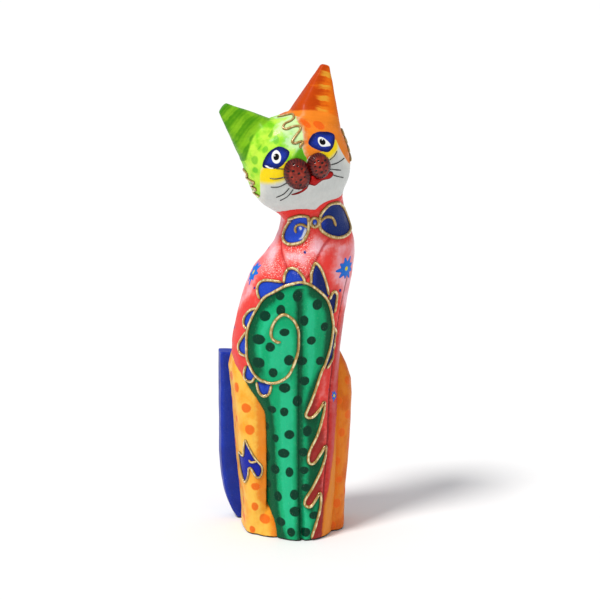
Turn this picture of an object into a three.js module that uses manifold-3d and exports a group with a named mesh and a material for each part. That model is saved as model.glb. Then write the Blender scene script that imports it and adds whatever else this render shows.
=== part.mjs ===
// A carved and painted wooden cat, sitting: a body block with a tilted head, two glued-on
// haunches, a board tail, and the dowels that hold them.
//
// Millimetres, +Z up, the cat's face towards -Y. The origin is on the floor, under the middle of
// the body block. Right and left are the cat's own, so its right side is towards -X.
import * as THREE from "three";
import { mergeVertices } from "three/addons/utils/BufferGeometryUtils.js";
import Module from "manifold-3d";

const wasm = await Module();
wasm.setup();

// ---- clearances -------------------------------------------------------------------------------
const GLUE_GAP = 0.3; // between two faces that are glued
const END_GAP = 1; // past each end of a dowel, in its blind holes

// ---- body block -------------------------------------------------------------------------------
const BODY_HEIGHT = 226; // of the block, before the tilted joint of the neck is sawn
const BODY_WIDTH = 71; // across the chest
const BODY_FRONT = 32.5; // origin to the toes
const BODY_BACK = 22; // origin to the back
const GROOVE_HEIGHT = 162; // groove between the front legs, up from the floor
const GROOVE_DEPTH = 4; // at the toes
const GROOVE_WIDTH = 4;

// ---- haunches and feet ------------------------------------------------------------------------
const HIP_HALF = 20.5; // middle of the body to a haunch's flat inner face
const HAUNCH_SPREAD = 16; // flat inner face to the widest point
const HAUNCH_FRONT = 20; // origin to the front edge, forwards
const RIGHT_HAUNCH_HEIGHT = 117.5;
const LEFT_HAUNCH_HEIGHT = 120;
const FOOT_LENGTH = 29;
const FOOT_WIDTH = 15;
const FOOT_HEIGHT = 24;
const FOOT_TURN = 35; // degrees that the toes turn inwards
const FOOT_INSET = 8; // how far the toes pass the haunch's inner face
const RIGHT_FOOT_REACH = 21.5; // origin to the toes, forwards
const LEFT_FOOT_REACH = 18.5;

// ---- tail -------------------------------------------------------------------------------------
const TAIL_HEIGHT = 114.5; // floor to the sawn tip
const TAIL_WIDTH = 18; // of the upright limb
const TAIL_THICKNESS = 14;
const TAIL_OVERHANG = 8.5; // how far the limb stands out past the haunch
const TAIL_OUTER = HIP_HALF + HAUNCH_SPREAD + TAIL_OVERHANG; // to the limb's outer edge
const TAIL_REACH = 8; // how far the foot of the J passes the middle of the body
const TAIL_FOOT_HEIGHT = 22;
const TAIL_SWEEP = 10; // how far the outer edge curves in by the time it reaches the floor
const TAIL_SWEEP_RISE = 45; // floor to where that curve starts
const TAIL_LET_IN = 1.7; // how deep the board sits in the back
const TAIL_BEVEL = 2;
const TAIL_FACE = BODY_BACK - TAIL_LET_IN + GLUE_GAP; // front face of the board
const TAIL_DOWEL_RISE = 92; // floor to the upper tail dowel
const TAIL_DOWEL_WALL = 2; // wood between that dowel and the limb's inner edge

// ---- head -------------------------------------------------------------------------------------
const HEAD_WIDTH = 66;
const HEAD_HEIGHT = 61.5; // chin to crown
const HEAD_FRONT = 28; // middle of the head to the brow
const HEAD_BACK = 25;
const HEAD_RISE = 21; // middle of the head above the top of the body block
const HEAD_SHIFT = 11; // middle of the head towards the cat's right of the neck's top
const HEAD_FORWARD = 2.5; // middle of the head in front of the neck's top
const HEAD_ROLL = 19; // degrees, towards the cat's right
const HEAD_YAW = 2; // degrees, towards the cat's left
const MUZZLE_WIDTH = 34;
const MUZZLE_HEIGHT = 23;
const MUZZLE_PROUD = 3.5; // past the brow
const MUZZLE_DROP = 9; // middle of the muzzle below the middle of the head
const PAD_PARTING = 0.5; // between the two whisker pads, which are sawn flat where they meet
const PAD_MEETING = 1; // middle of the head to where they meet, towards the cat's left
const PAD_DROP = 6; // middle of the pads below the middle of the head
const PAD_TURN = 9; // degrees that each pad turns outwards
const PAD_LET_IN = 4; // flat back of a pad behind the front of the muzzle
// middle: middle of the head to the middle of the pad.
const RIGHT_PAD = { middle: 6.3, width: 17.4, height: 20.6 };
const LEFT_PAD = { middle: 7.7, width: 15.6, height: 16.8 };
const PAD_RISE = 6.5; // dome above the pad's flat back
const PAD_SPIGOT_DIAMETER = 6;
const PAD_SPIGOT_LENGTH = 4;

// ---- ears -------------------------------------------------------------------------------------
const EAR_PARTING = 10; // between the ears, over the crown
const EAR_OUTER_RISE = 8.8; // outer end of the ear's base above the middle of the head
// length: base to sawn tip. lean: how far the tip leans towards the crown. tip: the tip's width.
const RIGHT_EAR = { length: 30.3, lean: 2, tip: 7.2 };
const LEFT_EAR = { length: 34.4, lean: 0.2, tip: 5.2 };
const EAR_TIP_THICKNESS = 7;
const EAR_BASE_THICKNESS = 34;
const EAR_ROOT = 7; // length of the ear's blank that runs into the head before the joint is sawn

// ---- dowels: diameter, length, and how much of the length is in the piece being fixed ----------
const NECK_DOWEL = { diameter: 10, length: 44, inPiece: 20 };
const HAUNCH_DOWEL = { diameter: 8, length: 20, inPiece: 9 };
const HAUNCH_DOWEL_HEIGHTS = { upper: 78, lower: 34 };
const TAIL_DOWEL = { diameter: 6, length: 18, inPiece: 8.5 };
const EAR_PEG = { diameter: 5, length: 16, inPiece: 8 };

// ---- how finely the curved faces are cut -------------------------------------------------------
const BODY_CUTS = { around: 48, along: 32 };
const HEAD_CUTS = { around: 40, along: 20 };
const HAUNCH_CUTS = { around: 28, along: 12 };
const EAR_CUTS = { around: 24, along: 5 };
const FOOT_CUTS = { around: 20, along: 10 };
const DOWEL_SIDES = 16;
const PAD_SIDES = 20;
const PAD_RINGS = 5;

// Stations of the body block. at is a share of the height; middle and half are shares of half the
// width; front and back are shares of the reaches; frontPower and backPower square the outline.
const BODY_STATIONS = [
  { at: 0.0, middle: 0.05, half: 0.66, front: 0.98, back: 0.97, frontPower: 2.1, backPower: 4 },
  { at: 0.053, middle: 0.05, half: 0.68, front: 1.0, back: 0.98, frontPower: 2.1, backPower: 4 },
  { at: 0.133, middle: 0.05, half: 0.71, front: 0.94, back: 1.0, frontPower: 2.4, backPower: 4 },
  { at: 0.265, middle: 0.04, half: 0.74, front: 0.92, back: 1.0, frontPower: 2.7, backPower: 4 },
  { at: 0.376, middle: 0.02, half: 0.76, front: 0.93, back: 1.0, frontPower: 2.7, backPower: 3.6 },
  { at: 0.434, middle: -0.08, half: 0.89, front: 0.94, back: 1.02, frontPower: 2.4, backPower: 3 },
  { at: 0.531, middle: -0.15, half: 0.985, front: 0.94, back: 1.02, frontPower: 2.3, backPower: 2.4 },
  { at: 0.659, middle: -0.03, half: 0.97, front: 0.93, back: 0.9, frontPower: 2.3, backPower: 2.2 },
  { at: 0.77, middle: 0.16, half: 0.91, front: 0.9, back: 0.66, frontPower: 2.2, backPower: 2.2 },
  { at: 0.845, middle: 0.37, half: 0.73, front: 0.82, back: 0.55, frontPower: 2.1, backPower: 2.1 },
  { at: 0.916, middle: 0.36, half: 0.585, front: 0.76, back: 0.48, frontPower: 2.1, backPower: 2.1 },
  { at: 1.0, middle: 0.28, half: 0.56, front: 0.77, back: 0.46, frontPower: 2.2, backPower: 2.2 },
];

// Stations of a haunch: spread, front and back are shares of HAUNCH_SPREAD, HAUNCH_FRONT and
// BODY_BACK.
const RIGHT_HAUNCH_STATIONS = [
  { at: 0.0, spread: 0.8, front: 0.76, back: 0.91 },
  { at: 0.1, spread: 0.79, front: 0.84, back: 0.96 },
  { at: 0.24, spread: 0.88, front: 0.92, back: 1.0 },
  { at: 0.4, spread: 0.99, front: 0.96, back: 1.0 },
  { at: 0.55, spread: 1.07, front: 0.97, back: 1.0 },
  { at: 0.7, spread: 1.14, front: 0.94, back: 1.0 },
  { at: 0.82, spread: 1.21, front: 0.86, back: 1.0 },
  { at: 0.92, spread: 1.29, front: 0.68, back: 1.0 },
  { at: 0.97, spread: 1.29, front: 0.54, back: 0.98 },
  { at: 1.0, spread: 1.14, front: 0.36, back: 0.94 },
];
const LEFT_HAUNCH_STATIONS = [
  { at: 0.0, spread: 0.76, front: 0.8, back: 0.91 },
  { at: 0.1, spread: 0.79, front: 0.82, back: 0.96 },
  { at: 0.24, spread: 0.84, front: 0.8, back: 1.0 },
  { at: 0.45, spread: 0.97, front: 0.86, back: 1.0 },
  { at: 0.7, spread: 1.07, front: 0.82, back: 1.0 },
  { at: 0.82, spread: 1.09, front: 0.68, back: 0.98 },
  { at: 0.93, spread: 0.84, front: 0.5, back: 0.95 },
  { at: 1.0, spread: 0.56, front: 0.32, back: 0.84 },
];
const HAUNCH_FRONT_POWER = 3;
const HAUNCH_BACK_POWER = 5; // the back is sawn almost flat
const EAR_POWER = 2.6;
const NECK_SHARE = 0.9; // share of the body's height at which the neck dowel is centred

// Stations of the head, chin to crown. half, front and back are shares of the head's reaches.
const HEAD_STATIONS = [
  { at: 0.0, half: 0.6, front: 0.54, back: 0.8 },
  { at: 0.04, half: 0.63, front: 0.6, back: 0.81 },
  { at: 0.1, half: 0.7, front: 0.7, back: 0.83 },
  { at: 0.21, half: 0.87, front: 0.86, back: 0.88 },
  { at: 0.37, half: 0.98, front: 0.97, back: 0.96 },
  { at: 0.56, half: 1.0, front: 1.0, back: 1.0 },
  { at: 0.72, half: 0.98, front: 0.9, back: 0.95 },
  { at: 0.84, half: 0.9, front: 0.74, back: 0.8 },
  { at: 0.94, half: 0.72, front: 0.56, back: 0.6 },
  { at: 1.0, half: 0.4, front: 0.36, back: 0.4 },
];
const HEAD_POWER = 2.3;
const CHIN_SHARE = 0.577; // share of the head's height that is below its middle

const PAINTS = {
  coral: { color: 0xe2585c, roughness: 0.4, metalness: 0 },
  lime: { color: 0x7fd02a, roughness: 0.4, metalness: 0 },
  leaf: { color: 0x4f9a1c, roughness: 0.4, metalness: 0 },
  orange: { color: 0xe0701c, roughness: 0.4, metalness: 0 },
  yellowOrange: { color: 0xf6b04a, roughness: 0.4, metalness: 0 },
  blue: { color: 0x1c2a8e, roughness: 0.4, metalness: 0 },
  maroon: { color: 0x6a2020, roughness: 0.3, metalness: 0 },
  bareWood: { color: 0xc8a878, roughness: 0.8, metalness: 0 },
};

/** Turns degrees into radians. */
const radians = (degrees) => THREE.MathUtils.degToRad(degrees);

/** Raises a signed number to a power and keeps its sign. */
const signedPower = (value, power) => Math.sign(value) * Math.abs(value) ** power;

/** Reads one column of a list of stations as a smooth function of the place between its ends. */
function smoothColumn(stations, column) {
  const last = stations.length - 1;
  const slope = (i) => {
    const before = stations[Math.max(i - 1, 0)];
    const after = stations[Math.min(i + 1, last)];
    return (after[column] - before[column]) / (after.at - before.at);
  };
  return (at) => {
    let i = 0;
    while (i < last - 1 && stations[i + 1].at < at) i += 1;
    const span = stations[i + 1].at - stations[i].at;
    const t = (at - stations[i].at) / span;
    const start = stations[i][column] * (2 * t ** 3 - 3 * t ** 2 + 1);
    const end = stations[i + 1][column] * (3 * t ** 2 - 2 * t ** 3);
    const bend = slope(i) * (t ** 3 - 2 * t ** 2 + t) + slope(i + 1) * (t ** 3 - t ** 2);
    return start + end + bend * span;
  };
}

/** Shapes a closed cylinder: place(along 0..1, angle, rim 0..1) gives each vertex its position. */
function shapedBlank(cuts, place) {
  const blank = new THREE.CylinderGeometry(1, 1, 1, cuts.around, cuts.along);
  const points = blank.getAttribute("position");
  const at = new THREE.Vector3();
  for (let i = 0; i < points.count; i += 1) {
    at.fromBufferAttribute(points, i);
    const rim = Math.min(1, Math.hypot(at.x, at.z));
    const spot = place(at.y + 0.5, Math.atan2(-at.z, at.x), rim);
    points.setXYZ(i, spot.x, spot.y, spot.z);
  }
  return blank;
}

/** Gives the mirror image of a geometry in the plane x = 0, with its faces still pointing out. */
function mirrored(geometry) {
  const image = geometry.clone().scale(-1, 1, 1);
  const corners = image.index;
  for (let i = 0; i < corners.count; i += 3) {
    const first = corners.getX(i);
    corners.setX(i, corners.getX(i + 2));
    corners.setX(i + 2, first);
  }
  return image;
}

/** Makes a solid of a closed geometry, for joining and cutting. */
function toSolid(geometry) {
  const bare = geometry.clone();
  bare.deleteAttribute("normal");
  bare.deleteAttribute("uv");
  const merged = mergeVertices(bare, 1e-4);
  return new wasm.Manifold(
    new wasm.Mesh({
      numProp: 3,
      vertProperties: new Float32Array(merged.getAttribute("position").array),
      triVerts: new Uint32Array(merged.index.array),
    }),
  );
}

/** Makes the named mesh of a finished solid. */
function toMesh(name, solid, paint) {
  const made = solid.getMesh();
  const geometry = new THREE.BufferGeometry();
  geometry.setAttribute("position", new THREE.BufferAttribute(made.vertProperties, made.numProp));
  geometry.setIndex(new THREE.BufferAttribute(made.triVerts, 1));
  geometry.computeVertexNormals();
  const mesh = new THREE.Mesh(geometry, new THREE.MeshStandardMaterial(paint));
  mesh.name = name;
  return mesh;
}

/** The body block before anything is cut from it. */
function bodyBlank() {
  const read = Object.fromEntries(
    ["middle", "half", "front", "back", "frontPower", "backPower"].map((column) => [
      column,
      smoothColumn(BODY_STATIONS, column),
    ]),
  );
  return shapedBlank(BODY_CUTS, (along, angle, rim) => {
    const cos = Math.cos(angle);
    const sin = Math.sin(angle);
    const power = 2 / (sin < 0 ? read.frontPower(along) : read.backPower(along));
    const reach = sin < 0 ? read.front(along) * BODY_FRONT : read.back(along) * BODY_BACK;
    const across = read.middle(along) + rim * read.half(along) * signedPower(cos, power);
    return new THREE.Vector3(
      (across * BODY_WIDTH) / 2,
      rim * reach * signedPower(sin, power),
      along * BODY_HEIGHT,
    );
  });
}

/** The middle of the body block at a share of its height. */
function bodyMiddle(along) {
  const read = (column) => smoothColumn(BODY_STATIONS, column)(along);
  return new THREE.Vector3(
    (read("middle") * BODY_WIDTH) / 2,
    (read("back") * BODY_BACK - read("front") * BODY_FRONT) / 2,
    along * BODY_HEIGHT,
  );
}

/** The wedge that parts the front legs. It runs out at the chest, which stands back from the toes. */
function legGroove() {
  const outside = GROOVE_WIDTH;
  const wedge = new THREE.Shape();
  wedge.moveTo(0, GROOVE_DEPTH - BODY_FRONT);
  wedge.lineTo(-(GROOVE_WIDTH / 2) * (1 + outside / GROOVE_DEPTH), -BODY_FRONT - outside);
  wedge.lineTo((GROOVE_WIDTH / 2) * (1 + outside / GROOVE_DEPTH), -BODY_FRONT - outside);
  wedge.closePath();
  const cutter = new THREE.ExtrudeGeometry(wedge, {
    depth: GROOVE_HEIGHT + outside,
    bevelEnabled: false,
  });
  return mergeVertices(cutter.translate(0, 0, -outside));
}

/** A haunch on the +X side: flat inside, rounded outside. grow adds a clearance all round. */
function haunchBlank(stations, height, grow) {
  const spread = smoothColumn(stations, "spread");
  const front = smoothColumn(stations, "front");
  const back = smoothColumn(stations, "back");
  const inner = HIP_HALF + GLUE_GAP - grow;
  return shapedBlank(HAUNCH_CUTS, (along, angle, rim) => {
    const power = 2 / (Math.sin(angle) < 0 ? HAUNCH_FRONT_POWER : HAUNCH_BACK_POWER);
    const cos = signedPower(Math.cos(angle), power);
    const sin = signedPower(Math.sin(angle), power);
    const outer = HIP_HALF + spread(along) * HAUNCH_SPREAD + grow;
    const near = -front(along) * HAUNCH_FRONT - grow;
    const far = back(along) * BODY_BACK + grow;
    return new THREE.Vector3(
      inner + rim * Math.max(0, cos) * (outer - inner),
      (near + far) / 2 + (rim * sin * (far - near)) / 2,
      along * (height + 2 * grow) - grow,
    );
  });
}

/** A hind foot on the +X side, an egg that turns its toes towards the front legs. */
function footBlank(reach, grow) {
  const turn = radians(FOOT_TURN);
  const toMiddle = FOOT_LENGTH / 2;
  const toesX = HIP_HALF + GLUE_GAP - FOOT_INSET;
  return new THREE.SphereGeometry(1, FOOT_CUTS.around, FOOT_CUTS.along)
    .rotateX(Math.PI / 2)
    .scale(FOOT_WIDTH / 2 + grow, toMiddle + grow, FOOT_HEIGHT + grow)
    .rotateZ(-turn)
    .translate(toesX + Math.sin(turn) * toMiddle, Math.cos(turn) * toMiddle - reach, 0);
}

/** A haunch with its foot as a solid, sawn off level with the floor. side is 1 left, -1 right. */
function haunchSolid(haunch, grow) {
  const onItsSide = (geometry) => toSolid(haunch.side < 0 ? mirrored(geometry) : geometry);
  const deep = 2 * FOOT_HEIGHT;
  const wide = 4 * BODY_WIDTH;
  const belowFloor = new THREE.BoxGeometry(wide, wide, deep).translate(0, 0, -deep / 2 - grow);
  return onItsSide(haunchBlank(haunch.stations, haunch.height, grow))
    .add(onItsSide(footBlank(haunch.footReach, grow)))
    .subtract(toSolid(belowFloor));
}

/** The tail board: a J that stands behind the body, sawn almost level at its tip. */
function tailBoard(grow) {
  const outer = -TAIL_OUTER + TAIL_BEVEL;
  const inner = -TAIL_OUTER + TAIL_WIDTH - TAIL_BEVEL;
  const top = TAIL_HEIGHT - TAIL_BEVEL;
  const footRound = TAIL_FOOT_HEIGHT / 2 - TAIL_BEVEL;
  const endX = TAIL_REACH - TAIL_FOOT_HEIGHT / 2;
  const corner = TAIL_WIDTH / 2;
  const outline = new THREE.Shape();
  outline.moveTo(inner, top - TAIL_BEVEL / 2);
  outline.lineTo(outer, top);
  outline.lineTo(outer, TAIL_SWEEP_RISE);
  outline.bezierCurveTo(
    outer + TAIL_SWEEP / 20,
    TAIL_SWEEP_RISE * 0.62,
    outer + TAIL_SWEEP / 4,
    TAIL_SWEEP_RISE * 0.27,
    outer + TAIL_SWEEP,
    TAIL_BEVEL,
  );
  outline.lineTo(endX, TAIL_BEVEL);
  outline.absarc(endX, TAIL_FOOT_HEIGHT / 2, footRound, -Math.PI / 2, Math.PI / 2, false);
  outline.lineTo(inner + corner, TAIL_FOOT_HEIGHT - TAIL_BEVEL);
  outline.quadraticCurveTo(inner, TAIL_FOOT_HEIGHT - TAIL_BEVEL, inner, TAIL_FOOT_HEIGHT + corner);
  const board = new THREE.ExtrudeGeometry(outline, {
    depth: TAIL_THICKNESS - 2 * TAIL_BEVEL,
    bevelThickness: TAIL_BEVEL + grow,
    bevelSize: TAIL_BEVEL,
    bevelOffset: grow,
    bevelSegments: 2,
    curveSegments: 8,
  });
  const backY = TAIL_FACE + TAIL_THICKNESS;
  return mergeVertices(board.rotateX(Math.PI / 2).translate(0, backY - TAIL_BEVEL, 0));
}

/** The head from its sawn base to the crown, about its own middle. */
function headBlank() {
  const half = smoothColumn(HEAD_STATIONS, "half");
  const front = smoothColumn(HEAD_STATIONS, "front");
  const back = smoothColumn(HEAD_STATIONS, "back");
  return shapedBlank(HEAD_CUTS, (along, angle, rim) => {
    const cos = signedPower(Math.cos(angle), 2 / HEAD_POWER);
    const sin = signedPower(Math.sin(angle), 2 / HEAD_POWER);
    const depth = sin < 0 ? front(along) * HEAD_FRONT : back(along) * HEAD_BACK;
    return new THREE.Vector3(
      (rim * cos * half(along) * HEAD_WIDTH) / 2,
      rim * sin * depth,
      (along - CHIN_SHARE) * HEAD_HEIGHT,
    );
  });
}

/** The block of space above the neck's sawn joint, in the head's frame. */
function aboveNeckJoint() {
  const size = 4 * HEAD_HEIGHT;
  return new THREE.BoxGeometry(size, size, size).translate(
    0,
    0,
    size / 2 - CHIN_SHARE * HEAD_HEIGHT - GLUE_GAP,
  );
}

/** The swelling that carries the whisker pads. */
function muzzle() {
  return new THREE.SphereGeometry(1, HEAD_CUTS.around / 2, HEAD_CUTS.along)
    .scale(MUZZLE_WIDTH / 2, HEAD_FRONT / 2, MUZZLE_HEIGHT / 2)
    .translate(0, -HEAD_FRONT / 2 - MUZZLE_PROUD, -MUZZLE_DROP);
}

/** Where the left ear meets the head, in the head's X-Z plane: its middle, axis and width. */
function earSeat() {
  const inner = new THREE.Vector3(EAR_PARTING / 2, 0, (1 - CHIN_SHARE) * HEAD_HEIGHT);
  const outer = new THREE.Vector3(HEAD_WIDTH / 2, 0, EAR_OUTER_RISE);
  const outwards = outer.clone().sub(inner).normalize();
  return {
    middle: inner.clone().add(outer).divideScalar(2),
    outwards,
    axis: new THREE.Vector3(-outwards.z, 0, outwards.x),
    width: inner.distanceTo(outer),
  };
}

/** An ear on the +X side with its root in the head: a blade that thins to a sawn tip. */
function earBlank({ length, lean, tip }) {
  const seat = earSeat();
  const thick = (share) => THREE.MathUtils.lerp(EAR_BASE_THICKNESS, EAR_TIP_THICKNESS, share) / 2;
  const wide = (share) => THREE.MathUtils.lerp(seat.width, tip, share) / 2;
  return shapedBlank(EAR_CUTS, (along, angle, rim) => {
    const share = along - ((1 - along) * EAR_ROOT) / length;
    const cos = signedPower(Math.cos(angle), 2 / EAR_POWER);
    const sin = signedPower(Math.sin(angle), 2 / EAR_POWER);
    const spot = seat.middle.clone();
    spot.addScaledVector(seat.axis, share * length);
    spot.addScaledVector(seat.outwards, rim * cos * wide(share) - share * lean);
    spot.y += rim * sin * thick(Math.max(share, 0));
    return spot;
  });
}

/** The block of space beyond the left ear's sawn joint, a clearance away from it. */
function beyondEarJoint(clearance) {
  const seat = earSeat();
  const size = 4 * HEAD_WIDTH;
  const turn = new THREE.Quaternion().setFromUnitVectors(new THREE.Vector3(0, 0, 1), seat.axis);
  const middle = seat.middle.clone().addScaledVector(seat.axis, clearance + size / 2);
  return new THREE.BoxGeometry(size, size, size)
    .applyQuaternion(turn)
    .translate(middle.x, middle.y, middle.z);
}

/** A whisker pad in the head's frame: a dome with a flat back, on a round spigot. */
function padSolid(pad, grow) {
  const height = pad.height + 2 * grow;
  const width = pad.width + 2 * grow;
  const profile = [new THREE.Vector2(0, -grow)];
  for (let ring = 0; ring < PAD_RINGS; ring += 1) {
    const angle = (ring / PAD_RINGS) * (Math.PI / 2);
    profile.push(new THREE.Vector2(Math.cos(angle), Math.sin(angle) * PAD_RISE));
  }
  profile[1].y = -grow;
  profile.push(new THREE.Vector2(0, PAD_RISE + grow));
  const dome = new THREE.LatheGeometry(profile, PAD_SIDES).scale(width / 2, 1, height / 2);
  const radius = PAD_SPIGOT_DIAMETER / 2 + grow;
  const depth = PAD_SPIGOT_LENGTH + (grow > 0 ? END_GAP : 0);
  const inDome = PAD_RISE / 2;
  const spigot = new THREE.CylinderGeometry(radius, radius, depth + inDome, DOWEL_SIDES);
  spigot.translate(0, (inDome - depth) / 2, 0);
  const seatY = PAD_LET_IN - HEAD_FRONT - MUZZLE_PROUD;
  const [cap, pin] = [dome, spigot].map((geometry) =>
    toSolid(
      geometry
        .rotateX(Math.PI)
        .rotateZ(radians(pad.side * PAD_TURN))
        .translate(pad.side * pad.middle, seatY, -PAD_DROP),
    ),
  );
  const offset = pad.side * PAD_MEETING + PAD_PARTING / 2 - grow;
  return cap.add(pin).trimByPlane([pad.side, 0, 0], offset);
}

/** A dowel across a joint. The direction points into the piece that is being fixed. */
function dowel(size, joint, direction) {
  const turn = new THREE.Quaternion().setFromUnitVectors(new THREE.Vector3(0, 1, 0), direction);
  const middle = joint.clone().addScaledVector(direction, size.inPiece - size.length / 2);
  const cylinder = (radius, length) =>
    new THREE.CylinderGeometry(radius, radius, length, DOWEL_SIDES)
      .applyQuaternion(turn)
      .translate(middle.x, middle.y, middle.z);
  return {
    pin: toSolid(cylinder(size.diameter / 2, size.length)),
    hole: toSolid(cylinder(size.diameter / 2 + GLUE_GAP, size.length + 2 * END_GAP)),
  };
}

// ---- the head group ----------------------------------------------------------------------------
// Everything in it is shaped about the middle of the head, upright, and the group tilts it.
const neckTop = bodyMiddle(1);
const headGroup = new THREE.Group();
headGroup.position.set(neckTop.x - HEAD_SHIFT, neckTop.y - HEAD_FORWARD, neckTop.z + HEAD_RISE);
headGroup.rotation.set(0, -radians(HEAD_ROLL), radians(HEAD_YAW), "ZYX");
headGroup.updateMatrix();

// The neck dowel runs from the middle of the neck to the middle of the head.
const neckMiddle = bodyMiddle(NECK_SHARE);
const towardsHead = headGroup.position.clone().sub(neckMiddle).normalize();
const chinReach = CHIN_SHARE * HEAD_HEIGHT;
const neckJoint = headGroup.position.clone().addScaledVector(towardsHead, -chinReach);
const neckDowel = dowel(NECK_DOWEL, neckJoint, towardsHead);
const intoHeadFrame = (solid) => solid.transform(headGroup.matrix.clone().invert().elements);
const intoBodyFrame = (solid) => solid.transform(headGroup.matrix.elements);

const seat = earSeat();
const mirror = (vector) => vector.clone().setX(-vector.x);
const ears = [
  { name: "left_ear", side: 1, paint: PAINTS.orange, peg: dowel(EAR_PEG, seat.middle, seat.axis) },
  {
    name: "right_ear",
    side: -1,
    paint: PAINTS.leaf,
    peg: dowel(EAR_PEG, mirror(seat.middle), mirror(seat.axis)),
  },
];
const pads = [
  { name: "left_whisker_pad", side: 1, ...LEFT_PAD },
  { name: "right_whisker_pad", side: -1, ...RIGHT_PAD },
];

const onSide = (side, geometry) => toSolid(side < 0 ? mirrored(geometry) : geometry);
const carvedBlank = toSolid(headBlank())
  .add(toSolid(muzzle()))
  .add(onSide(1, earBlank(LEFT_EAR)))
  .add(onSide(-1, earBlank(RIGHT_EAR)));

let headSolid = carvedBlank.subtract(intoHeadFrame(neckDowel.hole));
for (const ear of ears) {
  headSolid = headSolid.subtract(onSide(ear.side, beyondEarJoint(0))).subtract(ear.peg.hole);
  const earSolid = carvedBlank
    .intersect(onSide(ear.side, beyondEarJoint(GLUE_GAP)))
    .subtract(ear.peg.hole);
  headGroup.add(toMesh(ear.name, earSolid, ear.paint));
  headGroup.add(toMesh(ear.name + "_peg", ear.peg.pin, PAINTS.bareWood));
}
for (const pad of pads) {
  headSolid = headSolid.subtract(padSolid(pad, GLUE_GAP));
  headGroup.add(toMesh(pad.name, padSolid(pad, 0), PAINTS.maroon));
}
headGroup.add(toMesh("head", headSolid, PAINTS.lime));

// ---- haunches, tail and body -------------------------------------------------------------------
const haunches = [
  {
    name: "right_haunch",
    side: -1,
    height: RIGHT_HAUNCH_HEIGHT,
    stations: RIGHT_HAUNCH_STATIONS,
    footReach: RIGHT_FOOT_REACH,
  },
  {
    name: "left_haunch",
    side: 1,
    height: LEFT_HAUNCH_HEIGHT,
    stations: LEFT_HAUNCH_STATIONS,
    footReach: LEFT_FOOT_REACH,
  },
];

const backwards = new THREE.Vector3(0, 1, 0);
const tailDowels = {
  upper: dowel(
    TAIL_DOWEL,
    new THREE.Vector3(
      TAIL_WIDTH - TAIL_OUTER - TAIL_DOWEL_WALL - TAIL_DOWEL.diameter / 2,
      TAIL_FACE,
      TAIL_DOWEL_RISE,
    ),
    backwards,
  ),
  lower: dowel(TAIL_DOWEL, new THREE.Vector3(-TAIL_REACH, TAIL_FACE, TAIL_FOOT_HEIGHT / 2), backwards),
};
const tailHoles = tailDowels.upper.hole.add(tailDowels.lower.hole);
const tailCut = toSolid(tailBoard(GLUE_GAP));

const cat = new THREE.Group();
cat.add(headGroup);

let bodySolid = toSolid(bodyBlank())
  .subtract(toSolid(legGroove()))
  .subtract(intoBodyFrame(toSolid(aboveNeckJoint())))
  .subtract(tailCut)
  .subtract(tailHoles)
  .subtract(neckDowel.hole);
for (const haunch of haunches) {
  bodySolid = bodySolid.subtract(haunchSolid(haunch, GLUE_GAP));
  let solid = haunchSolid(haunch, 0).subtract(tailCut).subtract(tailHoles);
  for (const [place, height] of Object.entries(HAUNCH_DOWEL_HEIGHTS)) {
    const joint = new THREE.Vector3(haunch.side * HIP_HALF, 0, height);
    const fixing = dowel(HAUNCH_DOWEL, joint, new THREE.Vector3(haunch.side, 0, 0));
    solid = solid.subtract(fixing.hole);
    bodySolid = bodySolid.subtract(fixing.hole);
    cat.add(toMesh(haunch.name + "_dowel_" + place, fixing.pin, PAINTS.bareWood));
  }
  cat.add(toMesh(haunch.name, solid, PAINTS.yellowOrange));
}
cat.add(toMesh("torso", bodySolid, PAINTS.coral));
cat.add(toMesh("tail", toSolid(tailBoard(0)).subtract(tailHoles), PAINTS.blue));
cat.add(toMesh("neck_dowel", neckDowel.pin, PAINTS.bareWood));
cat.add(toMesh("tail_dowel_upper", tailDowels.upper.pin, PAINTS.bareWood));
cat.add(toMesh("tail_dowel_lower", tailDowels.lower.pin, PAINTS.bareWood));

export default cat;
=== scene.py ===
"""A carved and painted wooden cat: skins, paint, raised gold lines and a plain studio.

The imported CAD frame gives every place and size. The body, the head and the ears are one smooth
carving that is sawn into its pieces at the joints, so the paint runs over them as on the real one.
Sizes are in millimetres here and become metres when a mesh is made. The cat faces towards -Y.
"""

import logging
import math
from collections.abc import Sequence
from dataclasses import dataclass, field
from enum import Enum
from typing import ClassVar

import bmesh
import bpy
import numpy as np
from mathutils import Matrix, Vector, noise
from mathutils.bvhtree import BVHTree


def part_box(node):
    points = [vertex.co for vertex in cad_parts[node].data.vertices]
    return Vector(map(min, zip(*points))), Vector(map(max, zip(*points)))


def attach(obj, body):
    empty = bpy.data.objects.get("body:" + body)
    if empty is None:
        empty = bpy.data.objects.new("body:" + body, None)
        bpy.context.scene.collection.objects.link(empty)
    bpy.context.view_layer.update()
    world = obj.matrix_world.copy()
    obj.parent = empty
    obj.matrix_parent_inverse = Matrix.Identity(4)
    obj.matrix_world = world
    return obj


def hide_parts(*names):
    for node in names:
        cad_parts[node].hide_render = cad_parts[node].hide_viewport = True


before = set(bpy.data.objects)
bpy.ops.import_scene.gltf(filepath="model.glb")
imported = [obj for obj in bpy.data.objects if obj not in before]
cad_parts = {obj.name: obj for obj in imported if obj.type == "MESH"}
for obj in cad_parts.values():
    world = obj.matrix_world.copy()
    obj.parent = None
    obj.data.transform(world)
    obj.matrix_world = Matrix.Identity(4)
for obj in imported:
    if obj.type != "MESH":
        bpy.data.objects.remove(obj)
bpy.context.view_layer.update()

log = logging.getLogger("cat")

MM = 0.001
FAR_OUT = -1e9
ROOT = "root"

Colour = tuple[float, float, float]
Screen = tuple[int, int, int]
Spot = tuple[float, float]
Path = tuple[Spot, ...]
Place = tuple[float, float, float]


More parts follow.
